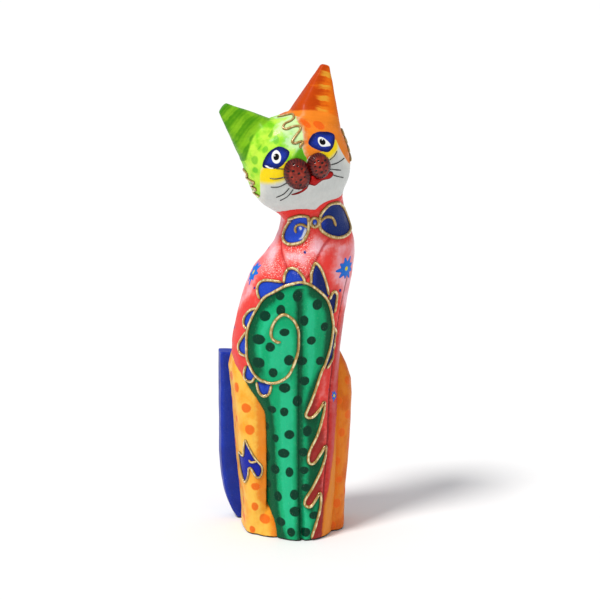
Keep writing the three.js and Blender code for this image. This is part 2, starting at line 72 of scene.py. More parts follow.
def paint(red: int, green: int, blue: int) -> Colour:
    """Turns a screen colour of 0 to 255 a channel into the linear one that shaders use."""
    return tuple(
        c / 12.92 if c <= 0.04045 else ((c + 0.055) / 1.055) ** 2.4
        for c in (red / 255, green / 255, blue / 255)
    )


class Side(Enum):
    """The cat's own right and left."""

    RIGHT = -1
    LEFT = 1

    @property
    def word(self) -> str:
        """Gives the side's name in lower case, as the frame's nodes spell it."""
        return self.name.lower()


# ---- patterns that wrap round a piece ----------------------------------------------------------


@dataclass(frozen=True)
class Wrap:
    """A flat pattern wrapped round an axis: degrees round it from the front, millimetres up it.

    Attributes:
        origin: a point on the axis, where the pattern's height is 0.
        radius: arm that turns degrees into millimetres of arc.
        roll: degrees that the axis leans towards the cat's right.
        yaw: degrees that the front turns towards the cat's left.
    """

    origin: Place
    radius: float
    roll: float = 0.0
    yaw: float = 0.0

    @property
    def axes(self) -> np.ndarray:
        """Gives the wrap's axes as the columns of a 3 by 3 array."""
        lean = Matrix.Rotation(math.radians(-self.roll), 3, "Y")
        return np.array(Matrix.Rotation(math.radians(self.yaw), 3, "Z") @ lean)

    def local(self, points: np.ndarray) -> np.ndarray:
        """Gives points in the wrap's own axes."""
        return (points - np.array(self.origin)) @ self.axes

    def outside(self, local: Place) -> Vector:
        """Gives the place in the part's frame of a point in the wrap's own axes."""
        return Vector(np.array(self.origin) + self.axes @ np.array(local))

    def flatten(self, points: np.ndarray) -> np.ndarray:
        """Gives the arc and the height of each point.

        Args:
            points: places in the part's frame, one row each.

        Returns:
            One row of arc and height for each point.
        """
        own = self.local(points)
        return np.column_stack([np.arctan2(own[:, 0], -own[:, 1]) * self.radius, own[:, 2]])

    def flat(self, spots: Path) -> np.ndarray:
        """Turns spots in degrees and millimetres into rows of arc and height.

        Args:
            spots: the spots.

        Returns:
            One row for each spot.
        """
        rows = np.array(spots, float)
        rows[:, 0] = np.radians(rows[:, 0]) * self.radius
        return rows

    def lift(self, skin: BVHTree, spot: Spot, reach: float = 90.0) -> tuple[Vector, Vector]:
        """Finds where a spot of the pattern lies on a skin.

        Args:
            skin: the surface that carries the pattern.
            spot: degrees round and millimetres up.
            reach: how far from the axis the search starts.

        Returns:
            The place on the skin and the direction that points out of it.
        """
        angle = math.radians(spot[0])
        outwards = (math.sin(angle), -math.cos(angle))
        start = self.outside((outwards[0] * reach, outwards[1] * reach, spot[1]))
        middle = self.outside((0.0, 0.0, spot[1]))
        place, out, _, _ = skin.ray_cast(start, (middle - start).normalized())
        if place is None:
            place, out, _, _ = skin.find_nearest((start + middle * 2) / 3)
        return place, out


BODY_WRAP = Wrap(origin=(0, 0, 0), radius=31)
NECK_WRAP = Wrap(origin=(12, -7, 0), radius=21)
HEAD_WRAP = Wrap(origin=(-1, -10, 247), radius=30, roll=19, yaw=2)
HAUNCH_WRAPS = {
    Side.RIGHT: Wrap(origin=(-24, 0, 0), radius=17),
    Side.LEFT: Wrap(origin=(24, 0, 0), radius=17),
}


def smooth_path(spots: Sequence[Sequence[float]], step: float, closed: bool = False) -> list[np.ndarray]:
    """Runs a smooth curve through spots.

    Args:
        spots: the points that the curve passes through, all of the same length.
        step: share of each stretch between two spots that one sample covers.
        closed: whether the last spot joins the first.

    Returns:
        Points along the curve.
    """
    rows = [np.array(s, float) for s in spots]
    count = len(rows)
    ring = rows[-1:] + rows + rows[:2] if closed else rows[:1] + rows + rows[-1:]
    samples = []
    for i in range(count if closed else count - 1):
        before, start, end, after = ring[i : i + 4]
        for t in np.arange(0, 1, step):
            bend = 2 * start + (end - before) * t
            bend += (2 * before - 5 * start + 4 * end - after) * t**2
            bend += (3 * start - before - 3 * end + after) * t**3
            samples.append(bend / 2)
    samples.append(rows[0] if closed else rows[-1])
    return samples


def depth_inside(points: np.ndarray, outline: np.ndarray) -> np.ndarray:
    """Measures how deep points lie inside a closed outline.

    Args:
        points: rows of arc and height.
        outline: corners of the outline in order, as rows.

    Returns:
        Millimetres to the nearest side, above 0 inside and below 0 outside.
    """
    nearest = np.full(len(points), -FAR_OUT)
    inside = np.zeros(len(points), bool)
    for start, end in zip(outline, np.roll(outline, -1, axis=0)):
        side = end - start
        length = max(float(side @ side), 1e-12)
        share = np.clip(((points - start) @ side) / length, 0, 1)
        gap = points - start - share[:, None] * side
        nearest = np.minimum(nearest, np.hypot(gap[:, 0], gap[:, 1]))
        spans = (start[1] > points[:, 1]) != (end[1] > points[:, 1])
        rise = side[1] if abs(side[1]) > 1e-12 else 1e-12
        crossing = start[0] + (points[:, 1] - start[1]) * side[0] / rise
        inside ^= spans & (points[:, 0] < crossing)
    return np.where(inside, nearest, -nearest)


def depth_in_any(wrap: Wrap, flat: np.ndarray, outlines: Sequence[Path], step: float = 0.25) -> np.ndarray:
    """Measures how deep flattened points lie inside the nearest of several smooth closed outlines.

    Args:
        wrap: the wrap that the outlines are drawn in.
        flat: the points, as rows of arc and height.
        outlines: each outline's spots in order.
        step: share of each stretch between two spots that one sample covers.

    Returns:
        The depth of each point, below 0 outside all of them.
    """
    depth = np.full(len(flat), FAR_OUT)
    for outline in outlines:
        smooth = wrap.flat([tuple(s) for s in smooth_path(outline, step, closed=True)[:-1]])
        depth = np.maximum(depth, depth_inside(flat, smooth))
    return depth


def reach_of_path(wrap: Wrap, flat: np.ndarray, spots: Path) -> tuple[np.ndarray, np.ndarray]:
    """Measures how far flattened points lie from a smooth path.

    Args:
        wrap: the wrap that the path is drawn in.
        flat: the points, as rows of arc and height.
        spots: the points that the path passes through.

    Returns:
        The distance of each point, and the share of the path's length at which it is nearest.
    """
    path = wrap.flat([tuple(s) for s in smooth_path(spots, 0.2)])
    nearest, run = np.full(len(flat), -FAR_OUT), np.zeros(len(flat))
    for i, (start, end) in enumerate(zip(path, path[1:])):
        side = end - start
        share = np.clip(((flat - start) @ side) / max(float(side @ side), 1e-9), 0, 1)
        gap = flat - start - share[:, None] * side
        reach = np.hypot(gap[:, 0], gap[:, 1])
        run = np.where(reach < nearest, (i + share) / (len(path) - 1), run)
        nearest = np.minimum(nearest, reach)
    return nearest, run


def depth_in_dots(wrap: Wrap, flat: np.ndarray, dots: Path, radius: float) -> np.ndarray:
    """Measures how deep flattened points lie inside the nearest of several round dots.

    Args:
        wrap: the wrap that the dots are placed in.
        flat: the points, as rows of arc and height.
        dots: the middle of each dot.
        radius: size of a dot, which varies a little.

    Returns:
        The depth of each point, below 0 outside all of them.
    """
    depth = np.full(len(flat), FAR_OUT)
    for i, centre in enumerate(wrap.flat(dots)):
        size = radius * (1 + 0.12 * math.sin(2.4 * i))
        gap = (flat - centre) * (1 + 0.1 * math.cos(1.7 * i), 1 - 0.1 * math.cos(1.7 * i))
        depth = np.maximum(depth, size - np.hypot(gap[:, 0], gap[:, 1]))
    return depth


def depth_in_flowers(wrap: Wrap, flat: np.ndarray, flowers: tuple[Place, ...]) -> np.ndarray:
    """Measures how deep flattened points lie inside star flowers of given place and radius.

    Args:
        wrap: the wrap that the flowers are placed in.
        flat: the points, as rows of arc and height.
        flowers: each flower's middle and radius.

    Returns:
        The depth of each point, below 0 outside all of them.
    """
    depth = np.full(len(flat), FAR_OUT)
    for i, (round_, up, radius) in enumerate(flowers):
        centre = wrap.flat([(round_, up)])[0]
        gap = flat - centre
        angle = np.arctan2(gap[:, 1], gap[:, 0]) + i
        petals = np.abs(np.cos(4.5 * angle)) ** 2.6
        rim = radius * (0.62 + (0.36 + 0.14 * np.sin(3 * angle + i)) * petals)
        depth = np.maximum(depth, (rim - np.hypot(gap[:, 0], gap[:, 1])) * 0.6)
    return depth


# ---- shader trees ------------------------------------------------------------------------------

Input = bpy.types.NodeSocket | float


class Shades:
    """A material's node tree, with short calls for the nodes that paint needs."""

    def __init__(self, name: str) -> None:
        """Starts a material with an empty tree.

        Args:
            name: the material's name.
        """
        self.material = bpy.data.materials.new(name)
        self.material.use_nodes = True
        self.tree = self.material.node_tree
        self.tree.nodes.clear()
        self.place = self.node("ShaderNodeTexCoord").outputs["Object"]

    def node(self, kind: str, **settings: object) -> bpy.types.Node:
        """Adds a node and sets its properties.

        Args:
            kind: Blender's name of the node.
            settings: its properties, by name.

        Returns:
            The node.
        """
        made = self.tree.nodes.new(kind)
        for key, value in settings.items():
            setattr(made, key, value)
        return made

    def feed(self, socket: bpy.types.NodeSocket, value: object) -> None:
        """Links a socket to another one, or sets its value.

        Args:
            socket: the socket to feed.
            value: another socket, a number or a colour.
        """
        if isinstance(value, bpy.types.NodeSocket):
            self.tree.links.new(value, socket)
        elif isinstance(value, tuple) and len(value) == 3 and socket.type == "RGBA":
            socket.default_value = (*value, 1)
        else:
            socket.default_value = value

    def sum(self, kind: str, a: Input, b: Input = 0.0, c: Input = 0.0) -> bpy.types.NodeSocket:
        """Adds a Math node of a kind and gives its result.

        Args:
            kind: which sum.
            a: the first number.
            b: the second one.
            c: the third one, where the sum has three.

        Returns:
            The result's socket.
        """
        made = self.node("ShaderNodeMath", operation=kind)
        for socket, value in zip(made.inputs, (a, b, c)):
            self.feed(socket, value)
        return made.outputs[0]

    def mark(self, name: str) -> bpy.types.NodeSocket:
        """Reads a number that the piece's points carry."""
        return self.node("ShaderNodeAttribute", attribute_name=name).outputs["Fac"]

    def ease(self, value: Input, low: float, high: float) -> bpy.types.NodeSocket:
        """Turns a value into a smooth 0 to 1 between two limits.

        Args:
            value: the value.
            low: where 0 ends.
            high: where 1 begins.

        Returns:
            The result's socket.
        """
        made = self.node("ShaderNodeMapRange", interpolation_type="SMOOTHSTEP")
        self.feed(made.inputs["Value"], value)
        made.inputs["From Min"].default_value = low
        made.inputs["From Max"].default_value = high
        return made.outputs["Result"]

    def blend(self, share: Input, a: object, b: object, kind: str = "MIX") -> bpy.types.NodeSocket:
        """Mixes two colours.

        Args:
            share: how much of the second colour shows.
            a: the first colour.
            b: the second one.
            kind: how they mix.

        Returns:
            The result's socket.
        """
        made = self.node("ShaderNodeMix", data_type="RGBA", blend_type=kind)
        self.feed(made.inputs["Factor"], share)
        self.feed(made.inputs[6], a)
        self.feed(made.inputs[7], b)
        return made.outputs[2]

    def grain(
        self,
        size: float,
        stretch: Place = (1, 1, 1),
        detail: float = 3.0,
        warp: float = 0.0,
    ) -> bpy.types.NodeSocket:
        """Gives noise whose blots have a size in millimetres.

        Args:
            size: width of a blot.
            stretch: how much longer than that it is along each axis.
            detail: how many finer layers it has.
            warp: how strongly it is twisted.

        Returns:
            The noise, from 0 to 1.
        """
        scaled = self.node("ShaderNodeMapping", vector_type="POINT")
        self.feed(scaled.inputs["Vector"], self.place)
        scaled.inputs["Scale"].default_value = tuple(1 / s for s in stretch)
        made = self.node("ShaderNodeTexNoise")
        self.feed(made.inputs["Vector"], scaled.outputs["Vector"])
        made.inputs["Scale"].default_value = 1 / (size * MM)
        made.inputs["Detail"].default_value = detail
        made.inputs["Distortion"].default_value = warp
        return made.outputs["Fac"]

    def bump(self, height: Input, lift: float, under: object = None) -> bpy.types.NodeSocket:
        """Raises the surface by a height map whose full range is lift millimetres.

        Args:
            height: the map, 0 to 1.
            lift: millimetres at 1.
            under: another bump to add this one to.

        Returns:
            The socket of the bumped normal.
        """
        made = self.node("ShaderNodeBump")
        made.inputs["Strength"].default_value = 1.0
        made.inputs["Distance"].default_value = lift * MM
        self.feed(made.inputs["Height"], height)
        if under is not None:
            self.feed(made.inputs["Normal"], under)
        return made.outputs["Normal"]

    def finish(self, colour: object, rough: Input, normal: object, **numbers: float) -> bpy.types.Material:
        """Closes the tree with a Principled shader.

        Args:
            colour: the base colour's socket.
            rough: roughness, a socket or a number.
            normal: the socket of the bumped normal.
            numbers: other inputs, by name with underscores for spaces.

        Returns:
            The finished material.
        """
        shader = self.node("ShaderNodeBsdfPrincipled")
        self.feed(shader.inputs["Base Color"], colour)
        self.feed(shader.inputs["Roughness"], rough)
        self.feed(shader.inputs["Normal"], normal)
        for key, value in numbers.items():
            shader.inputs[key.replace("_", " ")].default_value = value
        output = self.node("ShaderNodeOutputMaterial")
        self.tree.links.new(shader.outputs[0], output.inputs["Surface"])
        return self.material


@dataclass(frozen=True)
class Coat:
    """One coat of paint inside a marked area.

    Attributes:
        mark: the number on the piece that tells how deep a point lies inside the area.
        middle: colour well inside.
        edge: colour along the area's edge.
        fade: millimetres from the edge to the middle's colour.
        feather: millimetres over which the coat runs out.
        wobble: millimetres that the brush strays from the line.
        cover: how well it hides what is under it.
    """

    mark: str
    middle: Screen
    edge: Screen
    fade: float = 1.0
    feather: float = 0.35
    wobble: float = 0.35
    cover: float = 1.0


@dataclass(frozen=True)
class Paintwork:
    """The painted and varnished finish of one piece of wood.

    Attributes:
        name: the material's name.
        light: main colour of the ground coat.
        deep: colour that the ground coat is blotted with.
        coats: what is painted over it, in order.
        blot: size of the ground coat's blots.
        rough: roughness of the varnish.
        gloss: share of the clear coat.
        streak: how strongly the brush strokes show.
        strokes: how much longer than wide the strokes are along each axis.
        glint_mark: the number on the piece that tells where painted highlight specks glint on the varnish.
    """

    name: str
    light: Colour
    deep: Colour
    coats: tuple[Coat, ...] = ()
    blot: float = 9.0
    rough: float = 0.36
    gloss: float = 0.14
    streak: float = 0.2
    strokes: Place = (1, 1, 7)
    glint_mark: str = ""

    def build(self) -> bpy.types.Material:
        """Builds the finish as a material."""
        shades = Shades(self.name)
        blots = shades.grain(self.blot, detail=4)
        strokes = shades.grain(1.6, self.strokes, detail=4, warp=0.4)
        stray = shades.grain(2.2, detail=2)
        speckle = shades.grain(0.42, detail=2)
        colour = shades.blend(shades.ease(blots, 0.38, 0.66), self.light, self.deep)
        for coat in self.coats:
            colour = self.lay(shades, coat, colour, stray, blots)
        dim = shades.sum("MULTIPLY_ADD", strokes, self.streak, 1 - self.streak * 0.55)
        dim = shades.sum("MULTIPLY_ADD", blots, 0.16, shades.sum("SUBTRACT", dim, 0.08))
        colour = shades.blend(1.0, colour, self.grey(shades, dim), "MULTIPLY")
        # Pale specks: wear all over, plus painted highlight specks that glint where the glint mark says.
        wear_and_glints = shades.ease(speckle, 0.66, 0.74)
        if self.glint_mark:
            glint_area = shades.ease(shades.mark(self.glint_mark), -3.0, 4.0)
            grit = shades.ease(shades.grain(0.62, detail=1), 0.575, 0.64)
            wear_and_glints = shades.sum("MULTIPLY_ADD", shades.sum("MULTIPLY", glint_area, grit), 4.0, wear_and_glints)
        colour = shades.blend(shades.sum("MULTIPLY", wear_and_glints, 0.16), colour, paint(255, 244, 236))
        rough = shades.sum("MULTIPLY_ADD", blots, 0.22, self.rough - 0.11)
        rough = shades.sum("MULTIPLY_ADD", speckle, 0.16, rough)
        normal = shades.bump(strokes, 0.16)
        normal = shades.bump(speckle, 0.05, normal)
        normal = shades.bump(shades.grain(7, detail=1), 0.5, normal)
        return shades.finish(
            colour,
            rough,
            normal,
            Coat_Weight=self.gloss,
            Coat_Roughness=0.14,
            Coat_IOR=1.5,
            Specular_IOR_Level=0.05,
        )

    def lay(
        self,
        shades: Shades,
        coat: Coat,
        under: bpy.types.NodeSocket,
        stray: bpy.types.NodeSocket,
        blots: bpy.types.NodeSocket,
    ) -> bpy.types.NodeSocket:
        """Lays one coat over what is there.

        Args:
            shades: the tree that it goes into.
            coat: the coat.
            under: colour so far.
            stray: noise that moves the coat's edge.
            blots: noise that thins its colour.

        Returns:
            The colour with the coat on it.
        """
        shift = shades.sum("MULTIPLY_ADD", stray, 2 * coat.wobble, -coat.wobble)
        depth = shades.sum("ADD", shades.mark(coat.mark), shift)
        tone = shades.sum("MULTIPLY_ADD", blots, 0.9 * coat.fade, depth)
        tone = shades.ease(tone, 0.35 * coat.fade, 1.35 * coat.fade)
        own = shades.blend(tone, paint(*coat.edge), paint(*coat.middle))
        cover = shades.ease(depth, -coat.feather / 2, coat.feather / 2)
        return shades.blend(shades.sum("MULTIPLY", cover, coat.cover), under, own)

    @staticmethod
    def grey(shades: Shades, value: bpy.types.NodeSocket) -> bpy.types.NodeSocket:
        """Turns a number into a grey of that brightness.

        Args:
            shades: the tree that it is made in.
            value: the number.

        Returns:
            The colour's socket.
        """
        made = shades.node("ShaderNodeCombineColor")
        for socket in made.inputs:
            shades.feed(socket, value)
        return made.outputs[0]


@dataclass(frozen=True)
class GoldPaste:
    """Raised outliner paste: brown painted shade at its foot, dull gold flanks, a pale painted highlight on
    its crest.

    Attributes:
        name: the material's name.
        foot, flank, crest: its colours from the skin up; the brown foot is painted shade and the pale crest
            a painted highlight.
    """

    name: str = "gold_paste"
    foot: Colour = paint(96, 70, 30)
    flank: Colour = paint(172, 134, 60)
    crest: Colour = paint(240, 222, 170)

    def build(self) -> bpy.types.Material:
        """Builds the finish as a material."""
        shades = Shades(self.name)
        smear = shades.grain(1.6, (1, 1, 2), detail=4, warp=0.6)
        fine = shades.grain(0.35, detail=2)
        # Brown painted shade at the line's foot, gold on its flanks, and a pale painted highlight on its
        # crest.
        height = shades.sum("MULTIPLY_ADD", smear, 0.3, shades.sum("SUBTRACT", shades.mark("crest"), 0.15))
        colour = shades.blend(shades.ease(height, 0.02, 0.45), self.foot, self.flank)
        crest_highlight = shades.sum("MULTIPLY_ADD", smear, 0.9, shades.sum("SUBTRACT", height, 0.45))
        colour = shades.blend(shades.ease(crest_highlight, 0.74, 1.12), colour, self.crest)
        rough = shades.sum("MULTIPLY_ADD", fine, 0.25, 0.2)
        normal = shades.bump(smear, 0.2)
        return shades.finish(colour, rough, normal, Metallic=0.25, Coat_Weight=0.5, Coat_Roughness=0.1)


@dataclass(frozen=True)
class BareWood:
    """Turned dowel wood with fine rings along its length.

    Attributes:
        name: the material's name.
        light, deep: colours between the rings and in them.
    """

    name: str = "dowel_wood"
    light: Colour = paint(214, 184, 140)
    deep: Colour = paint(170, 132, 88)

    def build(self) -> bpy.types.Material:
        """Builds the finish as a material."""
        shades = Shades(self.name)
        rings = shades.grain(1.1, (1, 1, 9), detail=5, warp=0.8)
        pores = shades.grain(0.25, (1, 1, 6), detail=2)
        colour = shades.blend(shades.ease(rings, 0.3, 0.7), self.light, self.deep)
        colour = shades.blend(shades.ease(pores, 0.6, 0.75), colour, paint(120, 88, 54))
        return shades.finish(colour, shades.sum("MULTIPLY_ADD", pores, 0.2, 0.6), shades.bump(rings, 0.2))


@dataclass(frozen=True)
class InkLine:
    """Thin black brush line."""

    name: str = "black_line"

    def build(self) -> bpy.types.Material:
        """Builds the finish as a material."""
        shades = Shades(self.name)
        fine = shades.grain(0.5, detail=3)
        colour = shades.blend(shades.ease(fine, 0.45, 0.8), paint(12, 12, 14), paint(38, 36, 36))
        return shades.finish(colour, 0.35, shades.bump(fine, 0.05), Coat_Weight=0.4, Coat_Roughness=0.15)


# ---- meshes ------------------------------------------------------------------------------------


def points_of(mesh: bpy.types.Mesh) -> np.ndarray:
    """Gives a mesh's points in millimetres, one row each.

    Args:
        mesh: the mesh, in metres.

    Returns:
        The places of its points.
    """
    rows = np.empty(len(mesh.vertices) * 3)
    mesh.vertices.foreach_get("co", rows)
    return rows.reshape(-1, 3) / MM


def move_points(mesh: bpy.types.Mesh, points: np.ndarray) -> None:
    """Puts a mesh's points at places given in millimetres."""
    mesh.vertices.foreach_set("co", (points * MM).ravel())
    mesh.update()


def normals_of(mesh: bpy.types.Mesh) -> np.ndarray:
    """Gives the direction that each point of a mesh faces, one row each.

    Args:
        mesh: the mesh.

    Returns:
        Directions of length 1.
    """
    rows = np.empty(len(mesh.vertices) * 3)
    mesh.vertex_normals.foreach_get("vector", rows)
    return rows.reshape(-1, 3)


def write_mark(mesh: bpy.types.Mesh, name: str, values: np.ndarray) -> None:
    """Stores one number for each point of a mesh."""
    mark = mesh.attributes.new(name, "FLOAT", "POINT")
    mark.data.foreach_set("value", values.astype(np.float32))


def tree_of(mesh: bpy.types.Mesh) -> BVHTree:
    """Makes a search tree of a mesh, in millimetres."""
    points = [Vector(p) for p in points_of(mesh)]
    return BVHTree.FromPolygons(points, [tuple(p.vertices) for p in mesh.polygons])


def link(name: str, mesh: bpy.types.Mesh) -> bpy.types.Object:
    """Makes an object of a mesh and puts it in the scene.

    Args:
        name: name of the object.
        mesh: what it shows.

    Returns:
        The object.
    """
    made = bpy.data.objects.new(name, mesh)
    bpy.context.scene.collection.objects.link(made)
    return made


def settled(made: bpy.types.Object) -> bpy.types.Mesh:
    """Gives a plain mesh of an object as its modifiers leave it, and takes the modifiers off.

    Args:
        made: the object.

    Returns:
        The mesh.
    """
    ready = made.evaluated_get(bpy.context.evaluated_depsgraph_get())
    mesh = bpy.data.meshes.new_from_object(ready)
    made.modifiers.clear()
    return mesh


def dress(made: bpy.types.Object, material: bpy.types.Material, slot: str) -> None:
    """Gives a piece its material, smooth faces and its place on the body.

    Args:
        made: the piece.
        material: its finish.
        slot: the record's slot that the finish stands for; it is not used.
    """
    made.data.materials.clear()
    made.data.materials.append(material)
    made.data.polygons.foreach_set("use_smooth", [True] * len(made.data.polygons))
    made.data.polygons.foreach_set("material_index", [0] * len(made.data.polygons))
    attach(made, ROOT)
    log.info("%s: %d faces", made.name, len(made.data.polygons))


@dataclass(frozen=True)
class SawCut:
    """A flat joint between two pieces of the carving.

    Attributes:
        place: a point on the joint.
        towards: direction from the joint into the piece that is fixed on.
    """

    place: Vector
    towards: Vector

    def side(self, points: np.ndarray) -> np.ndarray:
        """Gives how far each point lies beyond the joint."""
        return (points - np.array(self.place)) @ np.array(self.towards)


@dataclass(frozen=True)
class CarvedSkin:
    """Turns nodes of the frame into one smooth carved surface.

    Attributes:
        grid: spacing of the surface's points.
        passes: how often it is sanded.
    """

    grid: float
    passes: int

    def copy_of(self, node: str, cuts: list[SawCut], overlap: float) -> bmesh.types.BMesh:
        """Copies a node's mesh and runs it a little over the joints that it meets.

        Args:
            node: name of the node.
            cuts: joints between this node and its neighbours.
            overlap: how far its sawn faces move over each joint.

        Returns:
            The copy, merged into one closed shell.
        """
        shell = bmesh.new()
        shell.from_mesh(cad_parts[node].data)
        bmesh.ops.remove_doubles(shell, verts=shell.verts, dist=0.002 * MM)
        for cut in cuts:
            for corner in shell.verts:
                beyond = (corner.co / MM - cut.place).dot(cut.towards)
                if abs(beyond) < 0.4:
                    way = -1 if node_is_beyond(node, cut) else 1
                    corner.co += cut.towards * way * overlap * MM
        return shell

    def piece(self, node: str) -> bpy.types.Object:
        """Makes the sanded surface of one node by itself."""
        return self.make(node + "_skin", [self.copy_of(node, [], 0)])

    def make(self, name: str, shells: list[bmesh.types.BMesh]) -> bpy.types.Object:
        """Joins shells into one sanded surface.

        Args:
            name: name of the object that holds it.
            shells: closed shells; they are used up.

        Returns:
            The object, with no modifiers left on it.
        """
        whole = bpy.data.meshes.new(name)
        joined = bmesh.new()
        for shell in shells:
            part = bpy.data.meshes.new(name + "_part")
            shell.to_mesh(part)
            shell.free()
            joined.from_mesh(part)
            bpy.data.meshes.remove(part)
        joined.to_mesh(whole)
        joined.free()
        made = link(name, whole)
        remesh = made.modifiers.new("grid", "REMESH")
        remesh.mode = "VOXEL"
        remesh.voxel_size = self.grid * MM
        remesh.use_smooth_shade = True
        sand = made.modifiers.new("sand", "SMOOTH")
        sand.factor = 0.5
        sand.iterations = self.passes
        made.data = settled(made)
        return made


def node_is_beyond(node: str, cut: SawCut) -> bool:
    """Tells whether a node of the frame lies beyond a joint."""
    low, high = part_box(node)
    return ((low + high) / 2 / MM - cut.place).dot(cut.towards) > 0


def saw(
    source: bpy.types.Object, name: str, keep: list[tuple[SawCut, int]], kerf: float
) -> bpy.types.Object:
    """Cuts a piece out of a carving.

    Args:
        source: the whole carving, which stays as it is.
        name: name of the new piece.
        keep: each joint with 1 to keep what lies beyond it, or -1 to keep what lies before it.
        kerf: gap that the saw leaves on the piece's side of each joint.

    Returns:
        The closed piece.
    """
    shell = bmesh.new()
    shell.from_mesh(source.data)
    for cut, way in keep:
        cap = bmesh.ops.bisect_plane(
            shell,
            geom=shell.verts[:] + shell.edges[:] + shell.faces[:],
            plane_co=(cut.place + cut.towards * way * kerf) * MM,
            plane_no=cut.towards * way,
            clear_inner=True,
        )
        rim = [e for e in cap["geom_cut"] if isinstance(e, bmesh.types.BMEdge)]
        bmesh.ops.triangle_fill(shell, edges=rim, use_beauty=True)
        for edge in rim:
            edge.smooth = False
    bmesh.ops.recalc_face_normals(shell, faces=shell.faces)
    mesh = bpy.data.meshes.new(name)
    shell.to_mesh(mesh)
    shell.free()
    return link(name, mesh)


# ---- raised lines ------------------------------------------------------------------------------


class LineTree:
    """A Geometry Nodes tree that turns a wire into a squeezed line of paste."""

    NAME = "squeezed_line"

    def __init__(self, material: bpy.types.Material) -> None:
        """Builds the tree.

        Args:
            material: finish of the line.
        """
        self.tree = bpy.data.node_groups.new(self.NAME, "GeometryNodeTree")
        self.inputs: dict[str, str] = {}
        face = self.tree.interface
        face.new_socket("Geometry", in_out="INPUT", socket_type="NodeSocketGeometry")
        for label, kind in (
            ("Line Radius", "NodeSocketFloat"),
            ("Spacing", "NodeSocketFloat"),
            ("Unevenness", "NodeSocketFloat"),
            ("Sides", "NodeSocketInt"),
            ("Seed", "NodeSocketInt"),
        ):
            made = face.new_socket(label, in_out="INPUT", socket_type=kind)
            self.inputs[label] = made.identifier
        face.new_socket("Geometry", in_out="OUTPUT", socket_type="NodeSocketGeometry")
        self.build(material)

    def build(self, material: bpy.types.Material) -> None:
        """Adds and links the tree's nodes.

        Args:
            material: finish of the line.
        """
        start = self.add("NodeGroupInput")
        wire = self.add("GeometryNodeMeshToCurve", Mesh=start.outputs["Geometry"])
        even = self.add("GeometryNodeResampleCurve", Curve=wire.outputs["Curve"])
        even.mode = "LENGTH"
        self.feed(even.inputs["Length"], start.outputs["Spacing"])
        girth = self.add("GeometryNodeInputNamedAttribute", Name="girth")
        girth.data_type = "FLOAT"
        uneven = self.add("ShaderNodeTexNoise", Scale=260.0, Detail=1.0)
        uneven.noise_dimensions = "4D"
        self.feed(uneven.inputs["W"], start.outputs["Seed"])
        centred = self.sum("SUBTRACT", uneven.outputs["Fac"], 0.5)
        scaled = self.sum("MULTIPLY_ADD", centred, start.outputs["Unevenness"], 1.0)
        sized = self.sum("MULTIPLY", scaled, girth.outputs["Attribute"])
        thick = self.add("GeometryNodeSetCurveRadius", Curve=even.outputs["Curve"], Radius=sized)
        profile = self.add(
            "GeometryNodeCurvePrimitiveCircle",
            Radius=start.outputs["Line Radius"],
            Resolution=start.outputs["Sides"],
        )
        tube = self.add("GeometryNodeCurveToMesh", Curve=thick.outputs["Curve"])
        self.feed(tube.inputs["Fill Caps"], True)
        if "Scale" in tube.inputs:
            self.feed(tube.inputs["Scale"], sized)
        self.feed(tube.inputs["Profile Curve"], profile.outputs["Curve"])
        real = self.add("GeometryNodeRealizeInstances", Geometry=tube.outputs["Mesh"])
        coat = self.add("GeometryNodeSetMaterial", Geometry=real.outputs["Geometry"], Material=material)
        self.add("NodeGroupOutput", Geometry=coat.outputs["Geometry"])

    def add(self, kind: str, **inputs: object) -> bpy.types.Node:
        """Adds a node and feeds its inputs, each with a socket or a value.

        Args:
            kind: Blender's name of the node.
            inputs: what feeds each of its inputs, by name.

        Returns:
            The node.
        """
        made = self.tree.nodes.new(kind)
        for name, value in inputs.items():
            self.feed(made.inputs[name], value)
        return made

    def sum(self, kind: str, *inputs: object) -> bpy.types.NodeSocket:
        """Adds a Math node of a kind and gives its result.

        Args:
            kind: which sum.
            inputs: its numbers in order, each a socket or a value.

        Returns:
            The result's socket.
        """
        made = self.tree.nodes.new("ShaderNodeMath")
        made.operation = kind
        for socket, value in zip(made.inputs, inputs):
            self.feed(socket, value)
        return made.outputs[0]

    def feed(self, socket: bpy.types.NodeSocket, value: object) -> None:
        """Links a socket to another one, or sets its value.

        Args:
            socket: the socket to feed.
            value: another socket, or a value.
        """
        if isinstance(value, bpy.types.NodeSocket):
            self.tree.links.new(value, socket)
        else:
            socket.default_value = value


